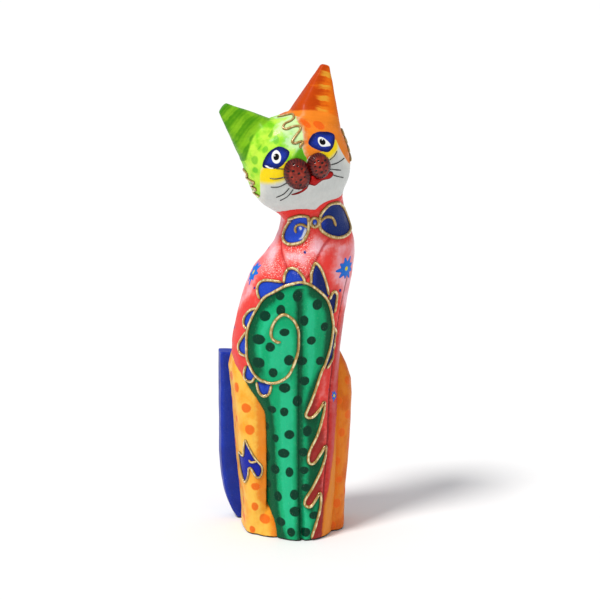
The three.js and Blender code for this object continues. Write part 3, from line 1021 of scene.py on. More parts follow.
@dataclass
class Squeezed:
    """Lines of one thickness, squeezed along paths on a skin.

    Attributes:
        name: name of the piece that they make.
        radius: half of a line's width.
        sink: how far a line's middle lies above the skin, as a share of its radius.
        uneven: how much the thickness varies.
        seed: number that fixes the variation.
        sides: how many sides a line has.
        spacing: millimetres between its rings.
        runs: the lines kept so far, each as its places and how thick it is at each.
        outs: the direction out of the skin at each of those places.
    """

    name: str
    radius: float
    sink: float = 0.2
    uneven: float = 0.5
    seed: int = 1
    sides: int = 10
    spacing: float = 0.7
    runs: list[tuple[list[Vector], list[float]]] = field(default_factory=list)
    outs: list[list[Vector]] = field(default_factory=list)

    def follow(
        self, wrap: Wrap, skin: BVHTree, spots: Path, closed: bool = False, girth: float = 1.0
    ) -> None:
        """Adds a line through spots of a wrapped pattern."""
        steps = smooth_path(spots, 0.12, closed)
        self.lay([wrap.lift(skin, (float(s[0]), float(s[1]))) for s in steps], closed, girth)

    def hug(self, wrap: Wrap, skin: BVHTree, spots: tuple[Place, ...], girth: float = 1.0) -> None:
        """Adds a line through places near the skin.

        Args:
            wrap: whose own axes the places are given in.
            skin: the surface that carries the line.
            spots: the places.
            girth: how thick the line is against the others.
        """
        found = []
        for spot in smooth_path(spots, 0.12):
            place, out, _, _ = skin.find_nearest(wrap.outside(tuple(spot)))
            found.append((place, out))
        self.lay(found, False, girth)

    def lay(self, found: list[tuple[Vector, Vector]], closed: bool, girth: float) -> None:
        """Keeps one run of places, tapered to round ends unless it closes on itself.

        Args:
            found: places on the skin, and the direction out of it at each.
            closed: whether the run closes on itself.
            girth: how thick it is against the others.
        """
        places = [(place + out * self.radius * self.sink, out) for place, out in found]
        kept, outs = [places[0][0]], [places[0][1]]
        for place, out in places[1:]:
            if (place - kept[-1]).length > 0.35:
                kept.append(place)
                outs.append(out)
        self.outs.append(outs)
        along = [0.0]
        for a, b in zip(kept, kept[1:]):
            along.append(along[-1] + (b - a).length)
        ends = [min(s, along[-1] - s) / (1.6 * self.radius) for s in along]
        rim = [1.0 if closed else math.sqrt(max(0.04, 1 - max(0.0, 1 - e) ** 2)) for e in ends]
        self.runs.append((kept, [girth * r for r in rim]))

    def make(self, tree: LineTree) -> bpy.types.Object:
        """Turns the runs into one mesh.

        Args:
            tree: the node tree that thickens them.

        Returns:
            The object, with no modifier left on it.
        """
        corners: list[Vector] = []
        edges: list[tuple[int, int]] = []
        girths: list[float] = []
        for places, girth in self.runs:
            first = len(corners)
            corners += [p * MM for p in places]
            girths += girth
            edges += [(first + i, first + i + 1) for i in range(len(places) - 1)]
        mesh = bpy.data.meshes.new(self.name)
        mesh.from_pydata(corners, edges, [])
        write_mark(mesh, "girth", np.array(girths))
        made = link(self.name, mesh)
        thicken = made.modifiers.new("paste", "NODES")
        thicken.node_group = tree.tree
        thicken[tree.inputs["Line Radius"]] = self.radius * MM
        thicken[tree.inputs["Spacing"]] = self.spacing * MM
        thicken[tree.inputs["Unevenness"]] = self.uneven
        thicken[tree.inputs["Sides"]] = self.sides
        thicken[tree.inputs["Seed"]] = self.seed
        made.data = settled(made)
        # Height above each run's middle, which the gold paste turns into painted shade at the foot and a
        # painted highlight on the crest.
        points = points_of(made.data)
        middle = BVHTree.FromPolygons(*self.ribbon())
        lift = [middle.find_nearest(Vector(p)) for p in points]
        crest = [(Vector(p) - foot).dot(out) for p, (foot, out, _, _) in zip(points, lift)]
        write_mark(made.data, "crest", np.array(crest) / self.radius)
        return made

    def ribbon(self) -> tuple[list[Vector], list[tuple[int, int, int]]]:
        """Gives a flat ribbon under every line, as corners and faces, that faces out of the skin."""
        corners: list[Vector] = []
        faces: list[tuple[int, int, int]] = []
        for (places, _), outs in zip(self.runs, self.outs):
            for i, (place, out) in enumerate(zip(places, outs)):
                ahead = places[min(i + 1, len(places) - 1)] - places[max(i - 1, 0)]
                across = ahead.cross(out).normalized() * self.radius * 1.5
                corners += [place - across, place + across]
                if i:
                    n = len(corners)
                    faces += [(n - 4, n - 1, n - 2), (n - 4, n - 3, n - 1)]
        return corners, faces


# ---- the body, the head and the ears -----------------------------------------------------------


@dataclass(frozen=True)
class KnifeLine:
    """A groove cut along the body.

    Attributes:
        path: the spots that it runs through.
        depth: how deep the knife goes.
        width: half of the groove's width.
    """

    path: Path
    depth: float
    width: float


KNIFE_LINES = {
    "right_chest": KnifeLine(((-44, 194), (-34, 188), (-24, 182), (-15.5, 176), (-8, 170)), 0.8, 1.7),
    "left_chest": KnifeLine(((36, 196), (27, 190), (15.5, 179), (11, 174), (4, 170)), 0.9, 1.7),
    "left_leg": KnifeLine(
        (
            (60, 172), (56, 155), (52, 139), (46, 113), (42, 103), (36.5, 88), (34.5, 67), (31, 44),
            (28, 25), (25, -2),
        ),
        1.5,
        2.2,
    ),
    "right_leg": KnifeLine(
        ((-42, 128), (-41, 110), (-39, 90), (-36, 66), (-35, 40), (-30, 20), (-25.5, -2)), 1.0, 2.0
    ),
    "parting": KnifeLine(((-2.5, 167), (-2.5, 130), (-2.5, 60), (-2, -2)), 1.3, 1.8),
}


def gouge_marks(points: np.ndarray, rate: float, start: Place = (0, 0, 0)) -> np.ndarray:
    """Gives the shallow marks that a gouge leaves.

    Args:
        points: places in millimetres, one row each.
        rate: marks for each millimetre.
        start: where in the noise they start, so that no two pieces look alike.

    Returns:
        A number of about -1 to 1 for each point.
    """
    return np.array([noise.noise(Vector(point) * rate + Vector(start)) for point in points])


@dataclass
class Carving:
    """The body, the head and both ears, carved as one and sawn at the joints.

    Attributes:
        neck_rise: height of the neck's joint in the head's frame.
        ear_parting: half of the distance between the ears' joints on the crown.
        crown_rise: height of the ears' inner ends in the head's frame.
        ear_reach: outer ends of the ears' joints from the head's middle.
        ear_rise: height of those outer ends.
        gap: the frame's gap at a joint.
        gouge: height of the gouge's marks.
        hollow: how deep the gouge takes the middle of each ear's front.
        hollow_half: half width of that hollow at the ear's foot.
        hollow_taper: how much narrower it gets for each millimetre up.
        overlap: how far a sawn face runs over the joint before the shells are joined.
        kerf: gap left on each side of a joint.
        skin: how the surface is sanded.
        whole: the carving while it is in one.
    """

    neck_rise: float = -35.64
    ear_parting: float = 5.0
    crown_rise: float = 26.0
    ear_reach: float = 33.0
    ear_rise: float = 8.8
    gap: float = 0.3
    gouge: float = 0.22
    hollow: float = 3.6
    hollow_half: float = 15.5
    hollow_taper: float = 0.38
    overlap: float = 0.6
    kerf: float = 0.002
    skin: CarvedSkin = CarvedSkin(grid=0.75, passes=12)
    whole: bpy.types.Object | None = None

    def neck_cut(self) -> SawCut:
        """Gives the joint between neck and head."""
        place = HEAD_WRAP.outside((0, 0, self.neck_rise))
        return SawCut(place, (HEAD_WRAP.outside((0, 0, 1)) - HEAD_WRAP.outside((0, 0, 0))).normalized())

    def ear_cut(self, side: Side) -> SawCut:
        """Gives the joint between the head and one ear.

        Args:
            side: which ear.

        Returns:
            Where the saw cuts.
        """
        inner = Vector((side.value * self.ear_parting, 0, self.crown_rise))
        outer = Vector((side.value * self.ear_reach, 0, self.ear_rise))
        along = (outer - inner).normalized()
        axis = Vector((-along.z * side.value, 0, along.x * side.value))
        place = HEAD_WRAP.outside(tuple((inner + outer) / 2 + axis * self.gap / 2))
        tip = HEAD_WRAP.outside(tuple((inner + outer) / 2 + axis))
        start = HEAD_WRAP.outside(tuple((inner + outer) / 2))
        return SawCut(place, (tip - start).normalized())

    def carve(self) -> BVHTree:
        """Joins and sands the whole carving, cuts its grooves, and gives its search tree."""
        neck, right, left = self.neck_cut(), self.ear_cut(Side.RIGHT), self.ear_cut(Side.LEFT)
        shells = [
            self.skin.copy_of("torso", [neck], self.overlap),
            self.skin.copy_of("head", [neck, right, left], self.overlap),
            self.skin.copy_of("right_ear", [right], self.overlap),
            self.skin.copy_of("left_ear", [left], self.overlap),
        ]
        self.whole = self.skin.make("carving", shells)
        self.groove(self.whole.data)
        return tree_of(self.whole.data)

    def groove(self, mesh: bpy.types.Mesh) -> None:
        """Cuts the knife lines of legs and chest, and the gouge's shallow marks all over.

        Args:
            mesh: the whole carving.
        """
        points = points_of(mesh)
        flat = BODY_WRAP.flatten(points)
        cut = np.zeros(len(points))
        for line in KNIFE_LINES.values():
            nearest, run = reach_of_path(BODY_WRAP, flat, line.path)
            taper = np.clip(6 * np.minimum(run, 1 - run), 0, 1)
            cut = np.maximum(cut, line.depth * taper * np.clip(1 - nearest / line.width, 0, 1) ** 1.4)
        front = np.clip(-normals_of(mesh)[:, 1] * 2 + 0.6, 0, 1)
        shift = self.gouge * gouge_marks(points, 0.13) - cut * front
        points = points + normals_of(mesh) * shift[:, None]
        for side in Side:
            points = points + self.scoop(points, side)
        move_points(mesh, points)

    def scoop(self, points: np.ndarray, side: Side) -> np.ndarray:
        """Hollows the front of one ear.

        Args:
            points: the carving's points.
            side: which ear.

        Returns:
            How far each point moves, one row each.
        """
        cut = self.ear_cut(side)
        back = HEAD_WRAP.axes[:, 1]
        out = np.cross(np.array(cut.towards), back) * -side.value
        rise = cut.side(points)
        across = (points - np.array(cut.place)) @ out
        half = np.clip(self.hollow_half - self.hollow_taper * rise, 3, 20)
        front = np.clip(-HEAD_WRAP.local(points)[:, 1] / 4, 0, 1)
        bowl = np.clip(1 - (across / half) ** 2, 0, 1) * np.clip((rise + 1) / 9, 0, 1) ** 2
        bowl *= np.clip(1.15 - rise / 40, 0.2, 1) * front
        return (self.hollow * bowl)[:, None] * back

    def pieces(self) -> dict[str, bpy.types.Object]:
        """Saws the carving into its four pieces."""
        neck, right, left = self.neck_cut(), self.ear_cut(Side.RIGHT), self.ear_cut(Side.LEFT)
        made = {
            "torso": saw(self.whole, "torso_skin", [(neck, -1)], self.kerf),
            "head": saw(self.whole, "head_skin", [(neck, 1), (right, -1), (left, -1)], self.kerf),
            "right_ear": saw(self.whole, "right_ear_skin", [(right, 1)], self.kerf),
            "left_ear": saw(self.whole, "left_ear_skin", [(left, 1)], self.kerf),
        }
        bpy.data.objects.remove(self.whole)
        return made


@dataclass
class Bow:
    """The bow painted at the throat: two lobes, their curls and the knot.

    Attributes:
        lobes: outline of each lobe.
        curls: the gold line's curl inside each lobe.
        painted_highlights: painted highlights, pale patches on the blue.
        shaded_side_from: distance to the cat's left from which the bow is in darker blue, as painted shade.
        knot, knot_radius: middle and size of the ring round the knot.
    """

    lobes: tuple[Path, Path] = (
        (
            (-22, 209.5), (-32, 211), (-45, 210), (-66, 206), (-79, 199), (-75, 194.5), (-61, 192),
            (-46, 192.5), (-32, 194.5), (-24, 199), (-21, 203),
        ),
        (
            (2, 210), (13, 215.5), (25, 218), (51, 217), (80, 211), (92, 203), (70, 198), (44, 196),
            (25, 197), (9, 200), (1, 203.5),
        ),
    )
    curls: tuple[Path, Path] = (
        ((-47, 199), (-50, 202.3), (-44, 204.4), (-34, 204.8), (-22, 203)),
        ((1, 206), (8, 208.5), (18, 209.8), (30, 208), (35, 203)),
    )
    painted_highlights: tuple[Path, ...] = (
        ((-40, 195.5), (-31, 196), (-25, 200), (-25, 202.5), (-30, 202.6), (-33, 199)),
        ((-44, 203.2), (-38, 201), (-35, 202.5), (-38, 203.6)),
        ((-12, 205.2), (-8, 204.2), (-5.5, 205.6), (-9, 206.2)),
    )
    shaded_side_from: float = 14.0
    knot: Spot = (-9, 206.5)
    knot_radius: float = 2.9

    def knot_path(self) -> Path:
        """Gives the ring round the knot."""
        wide = math.degrees(self.knot_radius / NECK_WRAP.radius)
        turns = [math.tau * i / 8 for i in range(8)]
        return tuple(
            (self.knot[0] + wide * math.cos(t), self.knot[1] + self.knot_radius * math.sin(t))
            for t in turns
        )

    def mark(self, mesh: bpy.types.Mesh, points: np.ndarray) -> np.ndarray:
        """Marks the bow's blue and gives its depths.

        Args:
            mesh: the piece's mesh.
            points: its points.

        Returns:
            The bow's depths, one for each point.
        """
        flat = NECK_WRAP.flatten(points)
        depth = depth_in_any(NECK_WRAP, flat, [*self.lobes, self.knot_path()])
        write_mark(mesh, "bow", depth)
        # Painted shade: the bow is darker blue towards the cat's left.
        write_mark(mesh, "bow_shaded_side", np.minimum(depth, (points[:, 0] - self.shaded_side_from) / 2))
        # Painted highlights: pale patches on the bow's blue.
        write_mark(mesh, "bow_painted_highlights", depth_in_any(NECK_WRAP, flat, self.painted_highlights))
        return depth

    def outline(self, line: Squeezed, skin: BVHTree) -> None:
        """Squeezes the bow's gold lines.

        Args:
            line: the lines to add to.
            skin: the surface that carries them.
        """
        for lobe in self.lobes:
            line.follow(NECK_WRAP, skin, lobe, closed=True)
        for curl in self.curls:
            line.follow(NECK_WRAP, skin, curl, girth=0.85)
        line.follow(NECK_WRAP, skin, self.knot_path(), closed=True)


@dataclass
class Torso:
    """The body block: coral ground, the spotted green spiral, its blue spikes and the flames.

    Attributes:
        crest, curl: the green area's line over the chest, and its run into the spiral.
        flames: the jagged line down the left leg, from the crest's foot to the floor.
        line_foot: where the gold line starts, just clear of the floor.
        spikes, drawn: the blue spikes, and how many corners of each the gold line runs through.
        spots: dots on the green.
        blushes, deep_red, embers: where the coral ground turns red, redder and darkest.
        shaded_side_from: distance to the cat's left from which the spikes are in darker blue, as painted
            shade.
        painted_shades, painted_lights: painted shade and painted light on the green.
        amber_foot: the amber low on the left flank.
        painted_glints: where painted highlight specks glint on the varnish.
        flowers: bearing, height and radius of each blue flower.
        blue_dots: the small dots between the flowers.
    """

    crest: Path = (
        (25, 110), (32, 116), (39, 126), (42, 137), (40, 144), (35, 153), (29, 159), (20, 164), (10, 168),
        (0, 169.5), (-8, 169), (-21, 167), (-34, 163), (-45, 159), (-53, 151), (-58, 144), (-60.5, 137),
        (-59.5, 128), (-58.5, 120),
    )
    curl: Path = (
        (-58.5, 120), (-55, 114), (-50, 109), (-43, 106), (-35, 105), (-26, 106), (-16, 110), (-9.5, 117),
        (-5, 125), (-4, 134), (-5, 140), (-9, 145), (-15, 148), (-21, 149.3), (-27, 147.5), (-32, 143.5),
        (-34.5, 138), (-33, 134), (-28, 131.8), (-23.5, 131.8),
    )
    flames: Path = (
        (25, 110), (16, 98), (8, 88), (5, 84), (7, 82), (13, 82), (21, 86), (28.5, 91), (27, 84), (20, 71),
        (12, 62), (8.5, 56.5), (9, 52), (15, 51.3), (23, 57), (30, 61.7), (29, 54), (23, 45), (13, 35),
        (4.5, 28), (4, 24), (10, 22.8), (17, 27), (23, 31), (23, 23), (18, 14), (13, 6), (10, -1),
    )
    line_foot: Spot = (11, 1.5)
    spikes: tuple[Path, ...] = (
        ((-22, 169), (-21, 174), (-17, 177.5), (-9, 178), (-2, 175.5), (3, 171.5), (3, 168), (-10, 167.5)),
        (
            (-50, 158), (-55, 162), (-56, 166.5), (-49, 169.5), (-35, 170), (-24, 169.5), (-22, 166.5),
            (-36, 161),
        ),
        ((-52, 152), (-60, 150.5), (-66, 147), (-68, 143.5), (-66, 140), (-60.5, 138), (-57, 144)),
        ((-61, 137), (-66.5, 132), (-70.5, 127), (-69, 123), (-64, 121.5), (-58.5, 121.5), (-59, 130)),
        ((-60, 115), (-64, 110), (-65, 106), (-61, 104.3), (-55, 105), (-51, 108.5), (-55, 113)),
        ((-50, 105), (-49, 99), (-46, 96.3), (-42, 96), (-37, 98), (-34, 104), (-42, 104.5)),
        (
            (11, 168), (12.5, 174), (15, 179), (19, 181), (24, 177), (29, 169), (33, 160), (27, 160),
            (18, 165),
        ),
        ((34, 157), (37, 161), (41, 162), (44, 159), (43.5, 153), (42, 148), (38, 149)),
        ((42.5, 139), (48, 134), (50, 126), (46, 120), (40, 115.5), (33, 112), (36, 118), (41, 128)),
    )
    drawn: tuple[int, ...] = (7, 6, 6, 6, 6, 6, 7, 6, 6)
    spots: Path = (
        (-24.5, 152), (-42, 148), (-20, 138), (19, 155), (3, 145), (12, 132), (-47, 133), (-35, 128.5),
        (-15, 120), (0, 119), (-26, 161), (-5, 161), (29, 140), (24, 118), (-47, 118), (-32, 112),
        (-20, 102), (3, 106), (-21, 86), (-5, 93), (-36, 87), (-15, 71), (7, 73), (-33, 68), (-22, 58.5),
        (2, 59), (-15, 46), (-34, 47), (3, 47), (-30.5, 29), (-9, 31), (5, 35.5), (-8, 20), (-13, 6),
        (4, 6), (-27, 12), (-46, 75), (-46, 55), (-46, 36), (14, 17), (-45, 100),
    )
    blushes: tuple[Path, ...] = (
        ((-50, 160), (-64, 162), (-82, 153), (-100, 140), (-122, 130), (-122, 90), (-60, 90), (-54, 120)),
        (
            (28, 108), (40, 122), (50, 146), (44, 170), (58, 150), (56, 118), (44, 96), (40, 60), (36, 10),
            (20, 0), (26, 60),
        ),
        (
            (-30, 192), (-10, 176), (10, 176), (34, 192), (46, 192), (30, 168), (0, 166), (-34, 170),
            (-44, 186),
        ),
    )
    deep_red: Path = (
        (62, 150), (80, 140), (120, 136), (120, -5), (24, -5), (30, 40), (33, 80), (42, 104), (52, 132),
    )
    embers: tuple[Path, ...] = (
        ((1, 80), (16, 80), (20, 94), (8, 96)),
        ((5, 48), (26, 50), (28, 72), (12, 72)),
        ((1, 20), (22, 22), (26, 46), (8, 42)),
        ((8, -5), (25, -5), (27, 24), (14, 24)),
    )
    shaded_side_from: float = 7.0
    painted_shades: tuple[Path, ...] = (
        (
            (-64, 160), (-46, 160), (-30, 166), (-30, 158), (-44, 150), (-49, 138), (-49, 124), (-42, 112),
            (-56, 104), (-68, 118),
        ),
        (
            (-100, 110), (-66, 112), (-52, 106), (-40, 98), (-33, 80), (-31, 50), (-29, 20), (-22, -5),
            (-100, -5),
        ),
        (
            (9, 100), (24, 112), (24, 90), (20, 70), (24, 50), (16, 30), (12, 16), (6, 34), (8, 50),
            (7, 70), (3, 84),
        ),
        ((10, 170), (28, 162), (42, 144), (42, 122), (26, 110), (29, 128), (30, 144), (22, 156), (8, 160)),
    )
    painted_lights: tuple[Path, ...] = (
        ((-25, 108), (-15, 112), (-9, 96), (-9, 40), (-8, 8), (-20, 6), (-26, 30), (-28, 70)),
        ((5, 158), (16, 154), (18, 130), (16, 112), (8, 104), (5, 124)),
        ((-42, 146), (-24, 154), (-10, 156), (-26, 150), (-40, 134), (-44, 118), (-48, 130)),
        ((-30, 140), (-12, 140), (-9, 124), (-20, 112), (-36, 114), (-36, 128)),
        ((2, 26), (10, 12), (8, 3), (1, 3)),
    )
    amber_foot: Path = ((51, 79), (42, 50), (37, 35), (28, 21), (25, 0), (25, -5), (100, -5), (100, 79))
    painted_glints: tuple[Path, ...] = (
        ((-16, 196), (14, 198), (24, 190), (8, 174), (-10, 176), (-24, 186)),
        ((-60, 190), (-34, 184), (-22, 176), (-30, 171), (-52, 172), (-66, 178)),
        ((-2, 206), (14, 204), (8, 196), (-4, 196)),
    )
    flowers: tuple[Place, ...] = (
        (-78, 172.5, 7.6),
        (56.5, 175.5, 7.8),
        (47, 93, 3.8),
        (128, 150, 5.6),
        (-140, 178, 5.2),
        (178, 118, 5.8),
        (150, 70, 5.0),
        (-165, 60, 4.6),
        (100, 142, 4.8),
    )
    blue_dots: Path = (
        (6, 188), (-90, 187), (-62, 164), (49, 162), (-88, 136), (38, 98), (80, 160), (110, 172),
        (-120, 150), (150, 135), (-160, 140), (170, 90), (-170, 30), (120, 118),
    )

    def mark(self, mesh: bpy.types.Mesh, bow: Bow) -> None:
        """Marks every painted area on the body.

        Args:
            mesh: the body's mesh.
            bow: the bow at its throat.
        """
        points = points_of(mesh)
        flat = BODY_WRAP.flatten(points)
        outline = [tuple(s) for s in smooth_path((*reversed(self.flames), *self.crest[1:]), 0.2)]
        outline += [(-56.5, 115), (-58, 109), (-66, 104.5), (-95, 104), (-95, -6), (10, -6)]
        green = depth_inside(flat, BODY_WRAP.flat(outline))
        spikes = depth_in_any(BODY_WRAP, flat, self.spikes)
        bow_depth = bow.mark(mesh, points)
        write_mark(mesh, "green", green)
        write_mark(mesh, "spikes", spikes)
        # Painted shade: the spikes are darker blue towards the cat's left.
        write_mark(mesh, "spikes_shaded_side", np.minimum(spikes, (points[:, 0] - self.shaded_side_from) / 2))
        write_mark(mesh, "embers", depth_in_any(BODY_WRAP, flat, self.embers))
        write_mark(mesh, "spots", depth_in_dots(BODY_WRAP, flat, self.spots, 3.15))
        write_mark(mesh, "flowers", depth_in_flowers(BODY_WRAP, flat, self.flowers))
        hearts = tuple(flower[:2] for flower in self.flowers)
        write_mark(mesh, "hearts", depth_in_dots(BODY_WRAP, flat, hearts, 1.35))
        write_mark(mesh, "blue_dots", depth_in_dots(BODY_WRAP, flat, self.blue_dots, 1.0))
        near = np.maximum(np.maximum(green, spikes), bow_depth) + 6.0
        write_mark(mesh, "blush", np.maximum(near, depth_in_any(BODY_WRAP, flat, self.blushes)))
        # Painted shade on the green's side faces and along the parting groove, and painted light down the
        # middle of the legs.
        painted_shade = depth_in_any(BODY_WRAP, flat, self.painted_shades)
        reach = {name: reach_of_path(BODY_WRAP, flat, line.path)[0] for name, line in KNIFE_LINES.items()}
        parting = np.where(points[:, 2] < 166, 2.8 - reach["parting"], -9)
        write_mark(mesh, "painted_shade", np.minimum(np.maximum(painted_shade, parting), green * 2))
        write_mark(mesh, "glow", np.minimum(depth_in_any(BODY_WRAP, flat, self.painted_lights), green - 1))
        write_mark(mesh, "deep_red", depth_in_any(BODY_WRAP, flat, [self.deep_red]))
        # Painted shade: darker red in the chest's knife grooves, and dark along the left leg's groove.
        write_mark(mesh, "cuts", 0.9 - np.minimum(reach["right_chest"], reach["left_chest"]))
        write_mark(mesh, "leg_groove_shade", 0.8 - reach["left_leg"])
        write_mark(mesh, "amber_foot", depth_inside(flat, BODY_WRAP.flat(self.amber_foot)))
        # Painted highlight specks that glint on the chest's varnish, kept off the bow.
        painted_glints = depth_in_any(BODY_WRAP, flat, self.painted_glints)
        write_mark(mesh, "painted_glints", np.minimum(painted_glints, -4 * bow_depth))
        write_mark(mesh, "foot_line", 1.0 - points[:, 2])

    def finish(self) -> Paintwork:
        """Gives the body's finish."""
        return Paintwork(
            name="body_paint",
            light=paint(250, 184, 194),
            deep=paint(238, 114, 114),
            blot=15,
            # Painted highlight specks glint where the body is marked for them.
            glint_mark="painted_glints",
            coats=(
                Coat("blush", (232, 54, 44), (242, 112, 104), fade=5, feather=5, wobble=2.4, cover=0.94),
                Coat("deep_red", (196, 42, 36), (208, 62, 54), fade=4, feather=5, wobble=2.4, cover=0.8),
                Coat("embers", (134, 32, 26), (166, 44, 36), fade=3, feather=5, wobble=2, cover=0.75),
                # Painted shade in the knife grooves of the chest and the left leg.
                Coat("cuts", (196, 34, 36), (206, 50, 50), fade=0.6, feather=1, cover=0.8),
                Coat("leg_groove_shade", (120, 40, 44), (150, 50, 52), fade=0.5, feather=0.9, cover=0.7),
                Coat("amber_foot", (232, 140, 44), (214, 96, 30), fade=2.2, feather=1.6, wobble=0.8),
                Coat("green", (10, 166, 108), (0, 80, 48), fade=5.6, feather=0.4),
                # Painted shade and painted light on the green.
                Coat("painted_shade", (0, 76, 44), (2, 94, 58), fade=1.5, feather=4, wobble=1.2, cover=0.92),
                Coat("glow", (44, 196, 142), (26, 176, 118), fade=2.5, feather=4, wobble=1.4, cover=0.7),
                Coat("spots", (0, 58, 38), (0, 72, 46), fade=0.8, feather=0.6),
                Coat("spikes", (34, 70, 190), (10, 18, 92), fade=2.4),
                # Painted shade on the spikes towards the cat's left.
                Coat("spikes_shaded_side", (12, 20, 66), (20, 36, 112), fade=2.6, feather=3, cover=0.85),
                Coat("bow", (44, 84, 216), (14, 28, 118), fade=2.6),
                # Painted shade on the bow towards the cat's left.
                Coat("bow_shaded_side", (26, 42, 84), (16, 24, 96), fade=4, feather=4, cover=0.85),
                # Painted highlights: pale patches on the bow's blue.
                Coat(
                    "bow_painted_highlights", (240, 244, 252), (150, 176, 236),
                    fade=0.6, feather=1.4, wobble=1, cover=0.9,
                ),
                Coat("flowers", (20, 112, 214), (40, 84, 186), feather=0.3, wobble=0.2),
                Coat("hearts", (222, 206, 50), (150, 170, 80), fade=0.5, wobble=0.1),
                Coat("blue_dots", (40, 50, 130), (58, 60, 140), fade=0.4, wobble=0.15),
                Coat("foot_line", (24, 30, 26), (40, 44, 38), fade=0.5, feather=0.6),
            ),
        )

    def outline(self, line: Squeezed, skin: BVHTree) -> None:
        """Squeezes the body's gold lines.

        Args:
            line: the lines to add to.
            skin: the surface that carries them.
        """
        rise = (self.line_foot, *reversed(self.flames[:-1]))
        line.follow(BODY_WRAP, skin, (*rise, *self.crest[1:], *self.curl[1:]))
        for spike, count in zip(self.spikes, self.drawn):
            line.follow(BODY_WRAP, skin, spike[:count])


